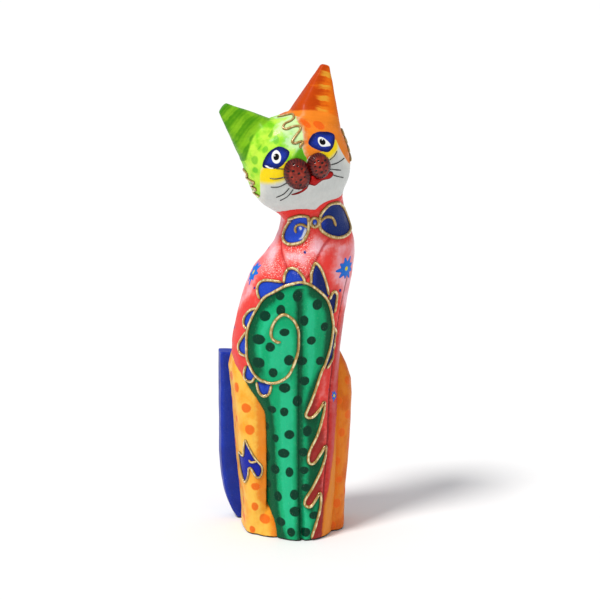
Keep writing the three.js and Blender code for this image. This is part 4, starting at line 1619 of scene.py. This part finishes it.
@dataclass
class Head:
    """The head's painted halves, its eyes, cheeks, mouth, whiskers and the line over the crown.

    Attributes:
        eye_patches: the blue round each eye.
        left_white: outline of the left eye's white.
        right_white_radius: size of the right eye's round white.
        pupils, pupil_radii: middle and size of each pupil.
        pupil_highlights: the painted highlight, a white speck in each pupil.
        patch_highlight: a painted highlight, a pale patch on the blue round the right eye.
        yellow: the yellow of each cheek.
        white: the white round the chin and the nape.
        collar: the red that runs up over the neck.
        mouth: the open mouth and its lips.
        halves: the orange half, from the brow to the nape.
        wedge: the red wedge between the pads.
        lime_spots, amber_spots: middles of the spots on each half.
        crown: places of the gold line that winds over the crown.
        cheek_lines: the zigzag on each cheek.
        whiskers: three spots of each whisker.
    """

    eye_patches: tuple[Path, Path] = (
        (
            (-51, 4.2), (-46, 9.3), (-37, 12.4), (-26, 12.9), (-17, 10.4), (-14, 7.6), (-20, 4.2),
            (-29, 1.4), (-36, 1.2), (-44, 2.6),
        ),
        (
            (16, 9.6), (25, 12.2), (36, 12.7), (47, 10.4), (53, 7.2), (50, 4.4), (42, 0.8), (34, -0.7),
            (28, 0.8), (21, 3.6), (15.5, 7.2),
        ),
    )
    left_white: Path = ((27.8, 7.5), (32, 9.7), (37.5, 8), (40.5, 2.6), (34.5, 2.9), (28.3, 4.4))
    right_white_radius: float = 3.45
    pupils: tuple[Spot, Spot] = ((-32, 7.7), (33, 6.4))
    pupil_radii: tuple[float, float] = (1.95, 2.0)
    pupil_highlights: tuple[Spot, Spot] = ((-33.6, 8.7), (34.4, 7.6))
    patch_highlight: Path = ((-48.5, 4.8), (-45, 4.4), (-41, 2.6), (-37.5, 2), (-40, 1.7), (-45, 3))
    yellow: tuple[Path, Path] = (
        (
            (-50, 5), (-60, 0), (-64, -4), (-54, -6.4), (-41, -7.6), (-28, -7), (-14, -3), (-8, 2),
            (-11, 6), (-14, 8.5), (-22, 6), (-40, 6),
        ),
        (
            (14, 8), (11.5, 4), (13.5, 1), (21, -4), (32, -5), (40, -4), (48, -2), (54, 3), (52, 7),
            (42, 4), (30, 4),
        ),
    )
    white: Path = (
        (-51, 4), (-56, 0), (-62, -7), (-71, -14), (-90, -17), (-130, -18), (-186, -18), (-186, -60),
        (186, -60), (186, -18), (130, -18), (90, -18), (66, -14.5), (57, -10), (52.5, -4), (51, 1), (50, 4),
        (38, 1), (24, 1), (10, 1.5), (4, 0), (-3, 0), (-9, 2), (-20, 3), (-36, 3),
    )
    collar: Path = (
        (-186, -30), (-100, -29), (-62, -28), (-38, -28.5), (-20, -31), (-5, -33.5), (6, -32), (24, -31),
        (52, -32.5), (100, -32), (186, -31), (186, -60), (-186, -60),
    )
    mouth: Path = (
        (1, 0), (4, -4), (9, -9), (24, -11), (31, -13), (32, -15.2), (25.8, -16.6), (16, -15.6), (10, -16),
        (3.4, -16.9), (-1, -15.4), (-3.6, -14.8), (-8, -16.9), (-14, -18.2), (-22, -18.6), (-29, -18),
        (-29, -17.2), (-22, -17.2), (-13, -16.4), (-6, -12), (-3, -4),
    )
    halves: Path = (
        (4, -2), (5, 1), (3.5, 4), (6, 9), (13, 13), (19, 18), (23, 23), (40, 26), (90, 27), (178, 26.5),
        (186, 27), (186, -40), (4, -40),
    )
    wedge: Path = ((-13, 2), (-11, 4.6), (-5, 7), (3, 8), (9, 5), (6, 0), (0, -2), (-8, -2))
    lime_spots: Path = ((-38, 21.5), (-29, 16.8), (-45.5, 13.5), (-60, 9), (-54, 17), (-62, 3))
    amber_spots: Path = ((31, 19.6), (44.5, 15.8), (86, 12), (104, 4))
    crown: tuple[Place, ...] = (
        (-2.5, 0.5, 26.5), (1.5, -4, 26.3), (5.2, -8.5, 25.6), (5.4, -12, 24.6), (2.6, -13.6, 23.6),
        (-1.6, -14.2, 23.2), (-3.8, -16.2, 21.7), (-2, -17.4, 20.5), (2.6, -17.2, 20.4), (5.8, -17.9, 19.4),
        (5.6, -19.4, 17.6), (2.6, -20.8, 16), (-0.6, -22, 14.2), (-2.4, -23, 12.6), (-0.6, -23.8, 11.5),
        (2.6, -23.8, 11.4), (3.8, -24.2, 10.4), (1.4, -24.9, 9.2), (0.9, -25.6, 7.6),
    )
    cheek_lines: tuple[Path, Path] = (
        (
            (-94, 3), (-80, 0.5), (-90, -2), (-79, -3.4), (-70, -5), (-83, -7.4), (-72, -9.4), (-86, -12),
            (-72, -14.4),
        ),
        ((86, 6), (77, 3.4), (87, 1), (75, -1.6), (85, -4.4), (73, -7.4), (86, -10.4), (71, -14)),
    )
    whiskers: tuple[Path, ...] = (
        ((-36, 1.4), (-30, 0.2), (-24, -1)),
        ((-46, -3.4), (-39, -5), (-26, -5.4)),
        ((-49, -9.2), (-39, -10.4), (-26, -9)),
        ((-49, -16.8), (-38, -15.8), (-28, -13)),
        ((-47, -19.6), (-34.6, -18), (-24, -14.4)),
        ((46, -2.4), (39, -4.6), (31, -5.4)),
        ((54.5, -9), (41.4, -9.4), (31, -8.6)),
        ((45, -15), (36.4, -12.9), (29, -11)),
        ((49.4, -20.6), (37, -17.2), (28.6, -14)),
    )

    def mark(self, mesh: bpy.types.Mesh, bow: Bow) -> None:
        """Marks every painted area on the head, and raises the lips.

        Args:
            mesh: the head's mesh.
            bow: the bow at the throat, which reaches under the chin.
        """
        points = points_of(mesh)
        flat = HEAD_WRAP.flatten(points)
        mouth = depth_in_any(HEAD_WRAP, flat, [self.mouth])
        lips = 0.55 * np.clip(mouth / 1.2 + 0.3, 0, 1)
        front = np.clip(-HEAD_WRAP.local(points)[:, 1] / 10 - 1, 0, 1)
        move_points(mesh, points + normals_of(mesh) * (lips * front)[:, None])
        bow.mark(mesh, points)
        write_mark(mesh, "mouth", mouth * np.where(front > 0, 1, 0) - np.where(front > 0, 0, 9))
        amber = depth_in_any(HEAD_WRAP, flat, [self.halves])
        write_mark(mesh, "amber", amber)
        wedge = depth_in_any(HEAD_WRAP, flat, [self.wedge])
        write_mark(mesh, "wedge", np.minimum(wedge, -5 * amber))
        white = depth_in_any(HEAD_WRAP, flat, [self.white])
        write_mark(mesh, "white", white)
        write_mark(mesh, "collar", depth_in_any(HEAD_WRAP, flat, [self.collar]))
        yellow = depth_in_any(HEAD_WRAP, flat, self.yellow)
        write_mark(mesh, "yellow", np.minimum(yellow, white * 6 + 1.6))
        write_mark(mesh, "patches", depth_in_any(HEAD_WRAP, flat, self.eye_patches))
        write_mark(mesh, "lime_spots", depth_in_dots(HEAD_WRAP, flat, self.lime_spots, 2.3))
        write_mark(mesh, "amber_spots", depth_in_dots(HEAD_WRAP, flat, self.amber_spots, 3.0))
        whites, pupils = self.eyes(flat)
        write_mark(mesh, "eye_whites", whites)
        write_mark(mesh, "pupils", pupils)
        # Painted highlights: a white speck in each pupil and a pale patch on the right eye's blue.
        painted_highlights = depth_in_dots(HEAD_WRAP, flat, self.pupil_highlights, 0.45)
        painted_highlights = np.maximum(painted_highlights, depth_in_any(HEAD_WRAP, flat, [self.patch_highlight]))
        write_mark(mesh, "painted_highlights", painted_highlights)
        # Pale paint round the crown's gold line, partly painted sparkle highlights, kept off the orange
        # half.
        crown = np.array([HEAD_WRAP.outside(c) for c in self.crown])
        reach = np.min(np.linalg.norm(points[:, None] - crown[None], axis=2), axis=1)
        write_mark(mesh, "pale_paint_and_sparkle", np.minimum(5.0 - reach, 1.5 - amber))

    def eyes(self, flat: np.ndarray) -> tuple[np.ndarray, np.ndarray]:
        """Measures the depths inside the eye whites and the pupils.

        Args:
            flat: the head's points, as rows of arc and height.

        Returns:
            The depth of each point in the whites, and in the pupils.
        """
        whites = depth_in_dots(HEAD_WRAP, flat, self.pupils[:1], self.right_white_radius)
        drop = np.array(smooth_path(HEAD_WRAP.flat(self.left_white), 0.2, closed=True)[:-1])
        whites = np.maximum(whites, depth_inside(flat, drop))
        pupils = np.full(len(flat), FAR_OUT)
        for centre, size in zip(HEAD_WRAP.flat(self.pupils), self.pupil_radii):
            pupils = np.maximum(pupils, size - np.hypot(*(flat - centre).T))
        return whites, pupils

    def finish(self) -> Paintwork:
        """Gives the head's finish."""
        return Paintwork(
            name="head_paint",
            light=paint(196, 242, 70),
            deep=paint(126, 212, 30),
            blot=8,
            streak=0.2,
            strokes=(1, 1, 3),
            coats=(
                Coat("lime_spots", (96, 190, 40), (122, 206, 44), fade=0.8, feather=0.9, cover=0.7),
                Coat("amber", (240, 132, 34), (224, 88, 12), fade=6, feather=0.8),
                Coat("amber_spots", (238, 96, 16), (240, 112, 28), fade=0.8, feather=0.7, cover=0.9),
                # Pale paint and painted sparkle highlights round the crown's line.
                Coat("pale_paint_and_sparkle", (232, 246, 226), (200, 236, 170), fade=3, feather=5, wobble=3, cover=0.5),
                Coat("white", (206, 208, 204), (226, 226, 216), fade=7, feather=0.5, wobble=0.3),
                Coat("yellow", (250, 216, 20), (244, 226, 90), fade=3, feather=3.4, wobble=0.6),
                Coat("wedge", (84, 164, 20), (110, 190, 30), fade=2.2, feather=2.6),
                Coat("collar", (230, 56, 50), (216, 38, 38), fade=1.4, feather=0.4),
                Coat("bow", (44, 84, 216), (14, 28, 118), fade=2.6),
                # Painted shade on the bow towards the cat's left.
                Coat("bow_shaded_side", (26, 42, 84), (16, 24, 96), fade=4, feather=4, cover=0.85),
                Coat("mouth", (184, 18, 14), (104, 8, 8), fade=1.6, feather=0.3, wobble=0.2),
                Coat("patches", (30, 54, 160), (8, 14, 72), fade=5, feather=0.35, wobble=0.25),
                Coat("eye_whites", (246, 246, 242), (214, 220, 232), fade=0.4, feather=0.25, wobble=0.1),
                Coat("pupils", (8, 8, 10), (20, 18, 22), fade=0.4, feather=0.25, wobble=0.08),
                # Painted highlights in the pupils and on the eye's blue.
                Coat("painted_highlights", (252, 252, 252), (236, 240, 246), fade=0.2, feather=0.25, wobble=0.05),
            ),
        )

    def outline(self, line: Squeezed, skin: BVHTree) -> None:
        """Squeezes the head's gold lines.

        Args:
            line: the lines to add to.
            skin: the surface that carries them.
        """
        line.hug(HEAD_WRAP, skin, self.crown, girth=0.88)
        for cheek in self.cheek_lines:
            line.follow(HEAD_WRAP, skin, cheek, girth=1.05)


@dataclass
class Ear:
    """One ear: glazed bands across it, and the face's colour running up from its foot.

    Attributes:
        side: which ear.
    """

    side: Side

    def mark(self, mesh: bpy.types.Mesh, cut: SawCut) -> None:
        """Marks how far up and across the ear each point lies.

        Args:
            mesh: the ear's mesh.
            cut: its joint with the head.
        """
        points = points_of(mesh)
        up = cut.side(points)
        front = Vector(HEAD_WRAP.axes[:, 1])
        outwards = np.array(cut.towards.cross(front).normalized()) * -self.side.value
        across = (points - np.array(cut.place)) @ outwards
        if self.side is Side.RIGHT:
            foot = 6.2 - 0.0205 * (across + 3) ** 2 - up
        else:
            foot = 6.6 - 0.015 * (across - 1) ** 2 - up
        sag = up + 0.012 * across**2
        write_mark(mesh, "foot", foot)
        write_mark(mesh, "sag", sag)
        write_mark(mesh, "across", across)

    def finish(self) -> bpy.types.Material:
        """Builds the ear's banded glaze."""
        green = self.side is Side.RIGHT
        name = "green_ear_paint" if green else "orange_ear_paint"
        dark = paint(74, 146, 12) if green else paint(196, 68, 4)
        light = paint(124, 186, 26) if green else paint(236, 112, 14)
        patch = paint(142, 196, 40) if green else paint(228, 168, 52)
        bright = paint(196, 242, 70) if green else paint(240, 132, 34)
        bright_foot = paint(126, 212, 30) if green else bright
        shades = Shades(name)
        sag, across = shades.mark("sag"), shades.mark("across")
        blots = shades.grain(8, detail=4)
        strokes = shades.grain(1.2, (6, 6, 1), detail=4, warp=0.5)
        speckle = shades.grain(0.42, detail=2)
        shifted = shades.sum("MULTIPLY_ADD", blots, 4.0, sag)
        wide = shades.sum("SINE", shades.sum("MULTIPLY", shifted, math.tau / (8.5 if green else 7.2)))
        fine = shades.sum("SINE", shades.sum("MULTIPLY", shifted, math.tau / 2.1))
        wave = shades.sum("MULTIPLY_ADD", fine, 0.4, wide)
        faint = shades.sum("SUBTRACT", shades.sum("MULTIPLY", wave, 0.22), 0.3)
        tone = shades.sum("MULTIPLY_ADD", blots, 1.6, faint)
        if not green:
            tone = shades.sum("MULTIPLY_ADD", across, 0.1, tone)
        colour = shades.blend(shades.ease(tone, 0.1, 0.9), dark, light)
        offset = shades.sum("ABSOLUTE", shades.sum("SUBTRACT", across, 0.0 if green else 1.2))
        column = shades.ease(offset, 8.0 if green else 5.4, 1.0)
        glow = shades.sum("MULTIPLY", column, shades.ease(wave, 0.0, 0.7))
        colour = shades.blend(shades.sum("MULTIPLY", glow, 0.4 if green else 0.8), colour, patch)
        foot = shades.sum("MULTIPLY_ADD", blots, 1.2, shades.mark("foot"))
        own = shades.blend(shades.ease(blots, 0.38, 0.66), bright, bright_foot)
        colour = shades.blend(shades.ease(foot, 0.1, 1.6), colour, own)
        dim = shades.sum("MULTIPLY_ADD", strokes, 0.24, 0.87)
        colour = shades.blend(1.0, colour, Paintwork.grey(shades, dim), "MULTIPLY")
        rough = shades.sum("MULTIPLY_ADD", blots, 0.22, 0.34)
        normal = shades.bump(strokes, 0.16)
        normal = shades.bump(speckle, 0.06, normal)
        return shades.finish(
            colour, rough, normal, Coat_Weight=0.08, Coat_Roughness=0.25, Specular_IOR_Level=0.05
        )


# ---- pads, haunches, tail ----------------------------------------------------------------------


@dataclass
class WhiskerPads:
    """The two glazed, pitted pads on the muzzle.

    Attributes:
        grid: spacing of the surface's points.
        pits: middles of the pits, as shares of half the pad.
    """

    grid: float = 0.36
    pits: Path = (
        (0.1, 0.1), (0.45, 0.3), (0.2, 0.55), (-0.25, 0.35), (-0.5, 0.02), (-0.3, -0.35), (0.08, -0.3),
        (0.45, -0.22), (0.62, 0.05), (-0.05, -0.62), (-0.02, 0.72), (-0.6, 0.4),
    )

    def make(self, side: Side) -> bpy.types.Object:
        """Makes one pad and marks its pits and rim.

        Args:
            side: which pad.

        Returns:
            The pad.
        """
        node = side.word + "_whisker_pad"
        made = CarvedSkin(self.grid, passes=4).piece(node)
        mesh = made.data
        own = HEAD_WRAP.local(points_of(mesh))
        low, high = own.min(axis=0), own.max(axis=0)
        middle, half = (low + high) / 2, (high - low) / 2
        flat = (own - middle)[:, (0, 2)] / half[[0, 2]]
        reach = np.hypot(flat[:, 0], flat[:, 1])
        pits = np.full(len(flat), FAR_OUT)
        turn = 0.0 if side is Side.RIGHT else 2.2
        spin = np.array([[math.cos(turn), -math.sin(turn)], [math.sin(turn), math.cos(turn)]])
        for i, pit in enumerate(self.pits):
            gap = (flat - spin @ np.array(pit)) * half[[0, 2]]
            size = 0.62 if i % 3 else 0.78
            pits = np.maximum(pits, size - np.hypot(gap[:, 0] * 0.8, gap[:, 1]))
        front = own[:, 1] < middle[1] + 1
        pits = np.where(front, pits, -5)
        sunk = -0.35 * np.clip(pits / 0.5 + 0.3, 0, 1)
        move_points(mesh, points_of(mesh) + normals_of(mesh) * sunk[:, None])
        write_mark(mesh, "pits", pits)
        write_mark(mesh, "reach", reach)
        write_mark(mesh, "bearing", np.arctan2(flat[:, 1], flat[:, 0]))
        return made

    def finish(self) -> bpy.types.Material:
        """Builds the pads' dark red glaze, streaked at the rim."""
        shades = Shades("pad_paint")
        blots = shades.grain(3.0, detail=4)
        reach = shades.mark("reach")
        spokes = shades.sum("SINE", shades.sum("MULTIPLY", shades.mark("bearing"), 26.0))
        spokes = shades.ease(shades.sum("MULTIPLY_ADD", blots, 1.2, spokes), 0.2, 1.4)
        rim = shades.ease(shades.sum("MULTIPLY_ADD", blots, 0.35, reach), 0.62, 1.05)
        colour = shades.blend(shades.ease(blots, 0.35, 0.65), paint(166, 54, 34), paint(116, 26, 18))
        shade = shades.blend(spokes, paint(58, 8, 8), paint(92, 20, 18))
        colour = shades.blend(rim, colour, shade)
        pits = shades.ease(shades.mark("pits"), -0.15, 0.2)
        colour = shades.blend(pits, colour, paint(20, 8, 8))
        fine = shades.grain(0.6, detail=3)
        normal = shades.bump(fine, 0.12)
        rough = shades.sum("MULTIPLY_ADD", blots, 0.2, 0.12)
        gloss = {"Coat_Weight": 0.4, "Coat_Roughness": 0.07, "Specular_IOR_Level": 0.1}
        return shades.finish(colour, rough, normal, **gloss)


@dataclass
class Haunch:
    """One hind leg with its foot: amber with orange spots.

    Attributes:
        side: which leg.
        motif: outline of the blue figure on the right leg.
        curl: the gold line inside it.
        front_spots: the spots in front, placed one by one.
        grid: spacing of the surface's points.
        gouge: height of the gouge's marks.
    """

    side: Side
    motif: Path = (
        (-33.5, 64.5), (-27, 61), (-20, 57), (-14, 53.5), (-8, 51), (-1, 48), (0.5, 44), (-4, 40.6),
        (-10, 40.4), (-15, 42.6), (-21, 46), (-26.5, 46), (-28, 42), (-33, 37.6), (-41, 35.6), (-49, 37),
        (-60, 41.5), (-68, 46.5), (-70, 51.5), (-63, 54.2), (-50, 53.6), (-41, 53.8), (-38.5, 58.5),
    )
    curl: Path = ((-8, 51.4), (-15, 50.6), (-22, 50.4), (-27, 52))
    front_spots: ClassVar[dict[Side, Path]] = {
        Side.RIGHT: (
            (-60, 98), (-32, 86), (-74, 76), (-24, 72), (-88, 104), (-12.6, 34), (-80, 20), (-15, 20),
            (5, 12), (-85, 8), (-24, 3.5),
        ),
        Side.LEFT: (
            (16, 67), (4, 48), (13, 35), (7, 19), (-4, 4), (10, 88), (36, 78), (42, 56), (40, 26),
            (44, 100),
        ),
    }
    grid: float = 0.62
    gouge: float = 0.2

    def dots(self) -> Path:
        """Gives the spots: those in front one by one, and the rest in staggered rows."""
        rows = []
        for row in range(7):
            for column in range(3):
                angle = 108 + 40 * column + (20 if row % 2 else 0)
                rows.append((self.side.value * angle, 10 + 15.5 * row + 3 * math.sin(row + 2 * column)))
        return (*self.front_spots[self.side], *rows)

    def make(self) -> bpy.types.Object:
        """Makes the piece and marks its paint."""
        made = CarvedSkin(self.grid, passes=12).piece(self.side.word + "_haunch")
        mesh = made.data
        points = points_of(mesh)
        points = points + normals_of(mesh) * (self.gouge * gouge_marks(points, 0.16, (7, 3, 1)))[:, None]
        move_points(mesh, points)
        wrap = HAUNCH_WRAPS[self.side]
        flat = wrap.flatten(points)
        write_mark(mesh, "dots", depth_in_dots(wrap, flat, self.dots(), 3.0))
        painted = [self.motif] if self.side is Side.RIGHT else []
        write_mark(mesh, "motif", depth_in_any(wrap, flat, painted))
        top = float(points[:, 2].max())
        write_mark(mesh, "crest", points[:, 2] - top + 1.6)
        border = 27.5 - abs(points[:, 0]) - np.clip(26 - points[:, 2], 0, 9)
        write_mark(mesh, "border", border)
        write_mark(mesh, "foot_line", 1.0 - points[:, 2])
        return made

    def finish(self) -> Paintwork:
        """Gives the haunch's finish."""
        right = self.side is Side.RIGHT
        return Paintwork(
            name="haunch_paint" if right else "left_haunch_paint",
            light=paint(250, 194, 78) if right else paint(236, 134, 38),
            deep=paint(244, 160, 40) if right else paint(216, 100, 20),
            blot=11,
            coats=(
                Coat("border", (238, 122, 20), (236, 132, 26), feather=4, wobble=1.6, cover=0.75),
                Coat("dots", (238, 104, 20), (240, 124, 34), fade=0.8, feather=0.8, cover=0.92),
                Coat("crest", (222, 60, 60), (236, 96, 50), feather=1.2, wobble=0.8, cover=0.8),
                Coat("motif", (24, 36, 156), (8, 14, 88), fade=2.2),
                Coat("foot_line", (40, 28, 20), (70, 46, 26), fade=0.5, feather=0.6),
            ),
        )


@dataclass
class Tail:
    """The board tail, dark blue all over.

    Attributes:
        grid: spacing of the surface's points.
        gouge: height of the gouge's marks.
    """

    grid: float = 0.6
    gouge: float = 0.2

    def make(self) -> bpy.types.Object:
        """Makes the piece and marks its edges for a painted highlight."""
        made = CarvedSkin(self.grid, passes=5).piece("tail")
        mesh = made.data
        points = points_of(mesh)
        points = points + normals_of(mesh) * (self.gouge * gouge_marks(points, 0.14, (1, 9, 4)))[:, None]
        move_points(mesh, points)
        low, high = points.min(axis=0), points.max(axis=0)
        edge = np.minimum(np.minimum(points[:, 1] - low[1], high[1] - points[:, 1]), high[2] - points[:, 2])
        write_mark(mesh, "edge", 1.3 - edge)
        write_mark(mesh, "foot_line", 1.0 - points[:, 2])
        return made

    def finish(self) -> Paintwork:
        """Gives the tail's finish."""
        return Paintwork(
            name="tail_paint",
            light=paint(12, 48, 170),
            deep=paint(8, 32, 136),
            blot=14,
            streak=0.22,
            coats=(
                # Painted highlight along the board's edges and top.
                Coat("edge", (44, 66, 176), (34, 50, 156), feather=1.4, wobble=0.9, cover=0.5),
                Coat("foot_line", (12, 16, 50), (16, 22, 80), fade=0.5, feather=0.6),
            ),
        )


# ---- studio ------------------------------------------------------------------------------------


@dataclass
class Studio:
    """The floor, the lights and the camera.

    Attributes:
        aim: point that the camera looks at.
        distance: metres from that point to the camera.
        azimuth: degrees that the camera stands to the cat's right of straight ahead, negative.
        elevation: degrees that it stands above the level.
        lens: focal length.
        sun_azimuth: degrees that the main light stands to the cat's right, negative.
        sun_elevation: its height in degrees.
        sun_power: its strength.
        sun_spread: degrees over which it spreads, which softens the shadow.
        room: strength of the soft light from all round.
        floor_half: millimetres from the middle of the floor to its sides.
    """

    aim: Place = (4.04, -0.71, 152.1)
    distance: float = 1200.0
    azimuth: float = -10.0
    elevation: float = 12.0
    lens: float = 112.0
    sun_azimuth: float = -56.0
    sun_elevation: float = 59.0
    sun_power: float = 2.25
    sun_spread: float = 12.0
    room: float = 0.54
    floor_half: float = 12000.0

    @staticmethod
    def away(azimuth: float, elevation: float) -> Vector:
        """Gives the direction from the cat to a place round it."""
        a, e = math.radians(azimuth), math.radians(elevation)
        return Vector((math.sin(a) * math.cos(e), -math.cos(a) * math.cos(e), math.sin(e)))

    def floor(self) -> None:
        """Lays the pale floor."""
        half = self.floor_half * MM
        mesh = bpy.data.meshes.new("floor")
        corners = [(-half, -half, 0), (half, -half, 0), (half, half, 0), (-half, half, 0)]
        mesh.from_pydata(corners, [], [(0, 1, 2, 3)])
        made = link("floor", mesh)
        shades = Shades("floor_paper")
        soft = shades.grain(40, detail=2)
        colour = shades.blend(soft, paint(246, 246, 246), paint(249, 249, 249))
        mesh.materials.append(shades.finish(colour, 0.9, shades.bump(soft, 0.01), Specular_IOR_Level=0.1))

    def light(self) -> None:
        """Hangs the main light and fills the room with soft light."""
        sun = bpy.data.lights.new("main_light", "SUN")
        sun.energy = self.sun_power
        sun.angle = math.radians(self.sun_spread)
        sun.color = (1.0, 0.985, 0.96)
        hung = bpy.data.objects.new("main_light", sun)
        bpy.context.scene.collection.objects.link(hung)
        towards = self.away(self.sun_azimuth, self.sun_elevation)
        hung.rotation_euler = towards.to_track_quat("Z", "Y").to_euler()
        world = bpy.data.worlds.new("room")
        world.use_nodes = True
        glow = world.node_tree.nodes["Background"]
        glow.inputs["Color"].default_value = (0.95, 0.97, 1.0, 1)
        glow.inputs["Strength"].default_value = self.room
        bpy.context.scene.world = world
        bpy.context.scene.view_settings.view_transform = "Standard"

    def camera(self) -> None:
        """Sets the camera up."""
        made = bpy.data.cameras.new("camera")
        made.lens = self.lens
        made.sensor_width = 36
        held = bpy.data.objects.new("camera", made)
        bpy.context.scene.collection.objects.link(held)
        out = self.away(self.azimuth, self.elevation)
        held.location = (Vector(self.aim) + out * self.distance) * MM
        held.rotation_euler = out.to_track_quat("Z", "Y").to_euler()
        bpy.context.scene.camera = held


def main() -> None:
    """Builds the cat piece by piece, and the studio round it."""
    logging.basicConfig(level=logging.INFO, format="%(name)s %(message)s")
    studio = Studio()
    studio.camera()
    studio.light()
    studio.floor()

    carving = Carving()
    skin = carving.carve()
    pieces = carving.pieces()
    bow, torso, head = Bow(), Torso(), Head()
    torso.mark(pieces["torso"].data, bow)
    dress(pieces["torso"], torso.finish().build(), "body_paint")
    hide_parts("torso")
    head.mark(pieces["head"].data, bow)
    dress(pieces["head"], head.finish().build(), "head_paint")
    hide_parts("head")
    for side, slot in ((Side.RIGHT, "green_ear_paint"), (Side.LEFT, "orange_ear_paint")):
        ear, node = Ear(side), side.word + "_ear"
        ear.mark(pieces[node].data, carving.ear_cut(side))
        dress(pieces[node], ear.finish(), slot)
        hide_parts(node)

    pads = WhiskerPads()
    glaze = pads.finish()
    for side in Side:
        pad = pads.make(side)
        dress(pad, glaze, "pad_paint")
        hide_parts(side.word + "_whisker_pad")

    haunches = {side: Haunch(side) for side in Side}
    skins = {}
    for side, haunch in haunches.items():
        made = haunch.make()
        skins[side] = tree_of(made.data)
        dress(made, haunch.finish().build(), "haunch_paint")
        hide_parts(side.word + "_haunch")

    tail = Tail()
    board = tail.make()
    dress(board, tail.finish().build(), "tail_paint")
    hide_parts("tail")

    gold = GoldPaste().build()
    paste = LineTree(gold)
    body_lines = Squeezed("body_gold_lines", radius=1.0, seed=3)
    torso.outline(body_lines, skin)
    head_lines = Squeezed("head_gold_lines", radius=0.95, seed=8)
    head.outline(head_lines, skin)
    bow_lines = Squeezed("bow_gold_lines", radius=1.15, seed=5)
    bow.outline(bow_lines, skin)
    haunch_lines = Squeezed("haunch_gold_lines", radius=0.8, seed=11)
    rear = (HAUNCH_WRAPS[Side.RIGHT], skins[Side.RIGHT])
    haunch_lines.follow(*rear, haunches[Side.RIGHT].motif, closed=True)
    haunch_lines.follow(*rear, haunches[Side.RIGHT].curl)
    for lines in (body_lines, head_lines, bow_lines, haunch_lines):
        dress(lines.make(paste), gold, "body_paint")

    ink = InkLine().build()
    whiskers = Squeezed("whisker_lines", radius=0.36, sink=0.1, uneven=0.9, seed=2, sides=6, spacing=0.5)
    for whisker in head.whiskers:
        whiskers.follow(HEAD_WRAP, skin, whisker)
    dress(whiskers.make(paste), ink, "head_paint")

    wood = BareWood().build()
    for name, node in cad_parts.items():
        if name.endswith("peg") or "dowel" in name:
            node.data.materials.clear()
            node.data.materials.append(wood)
            log.info("%s: bare wood", name)


if __name__ == "__main__":
    main()
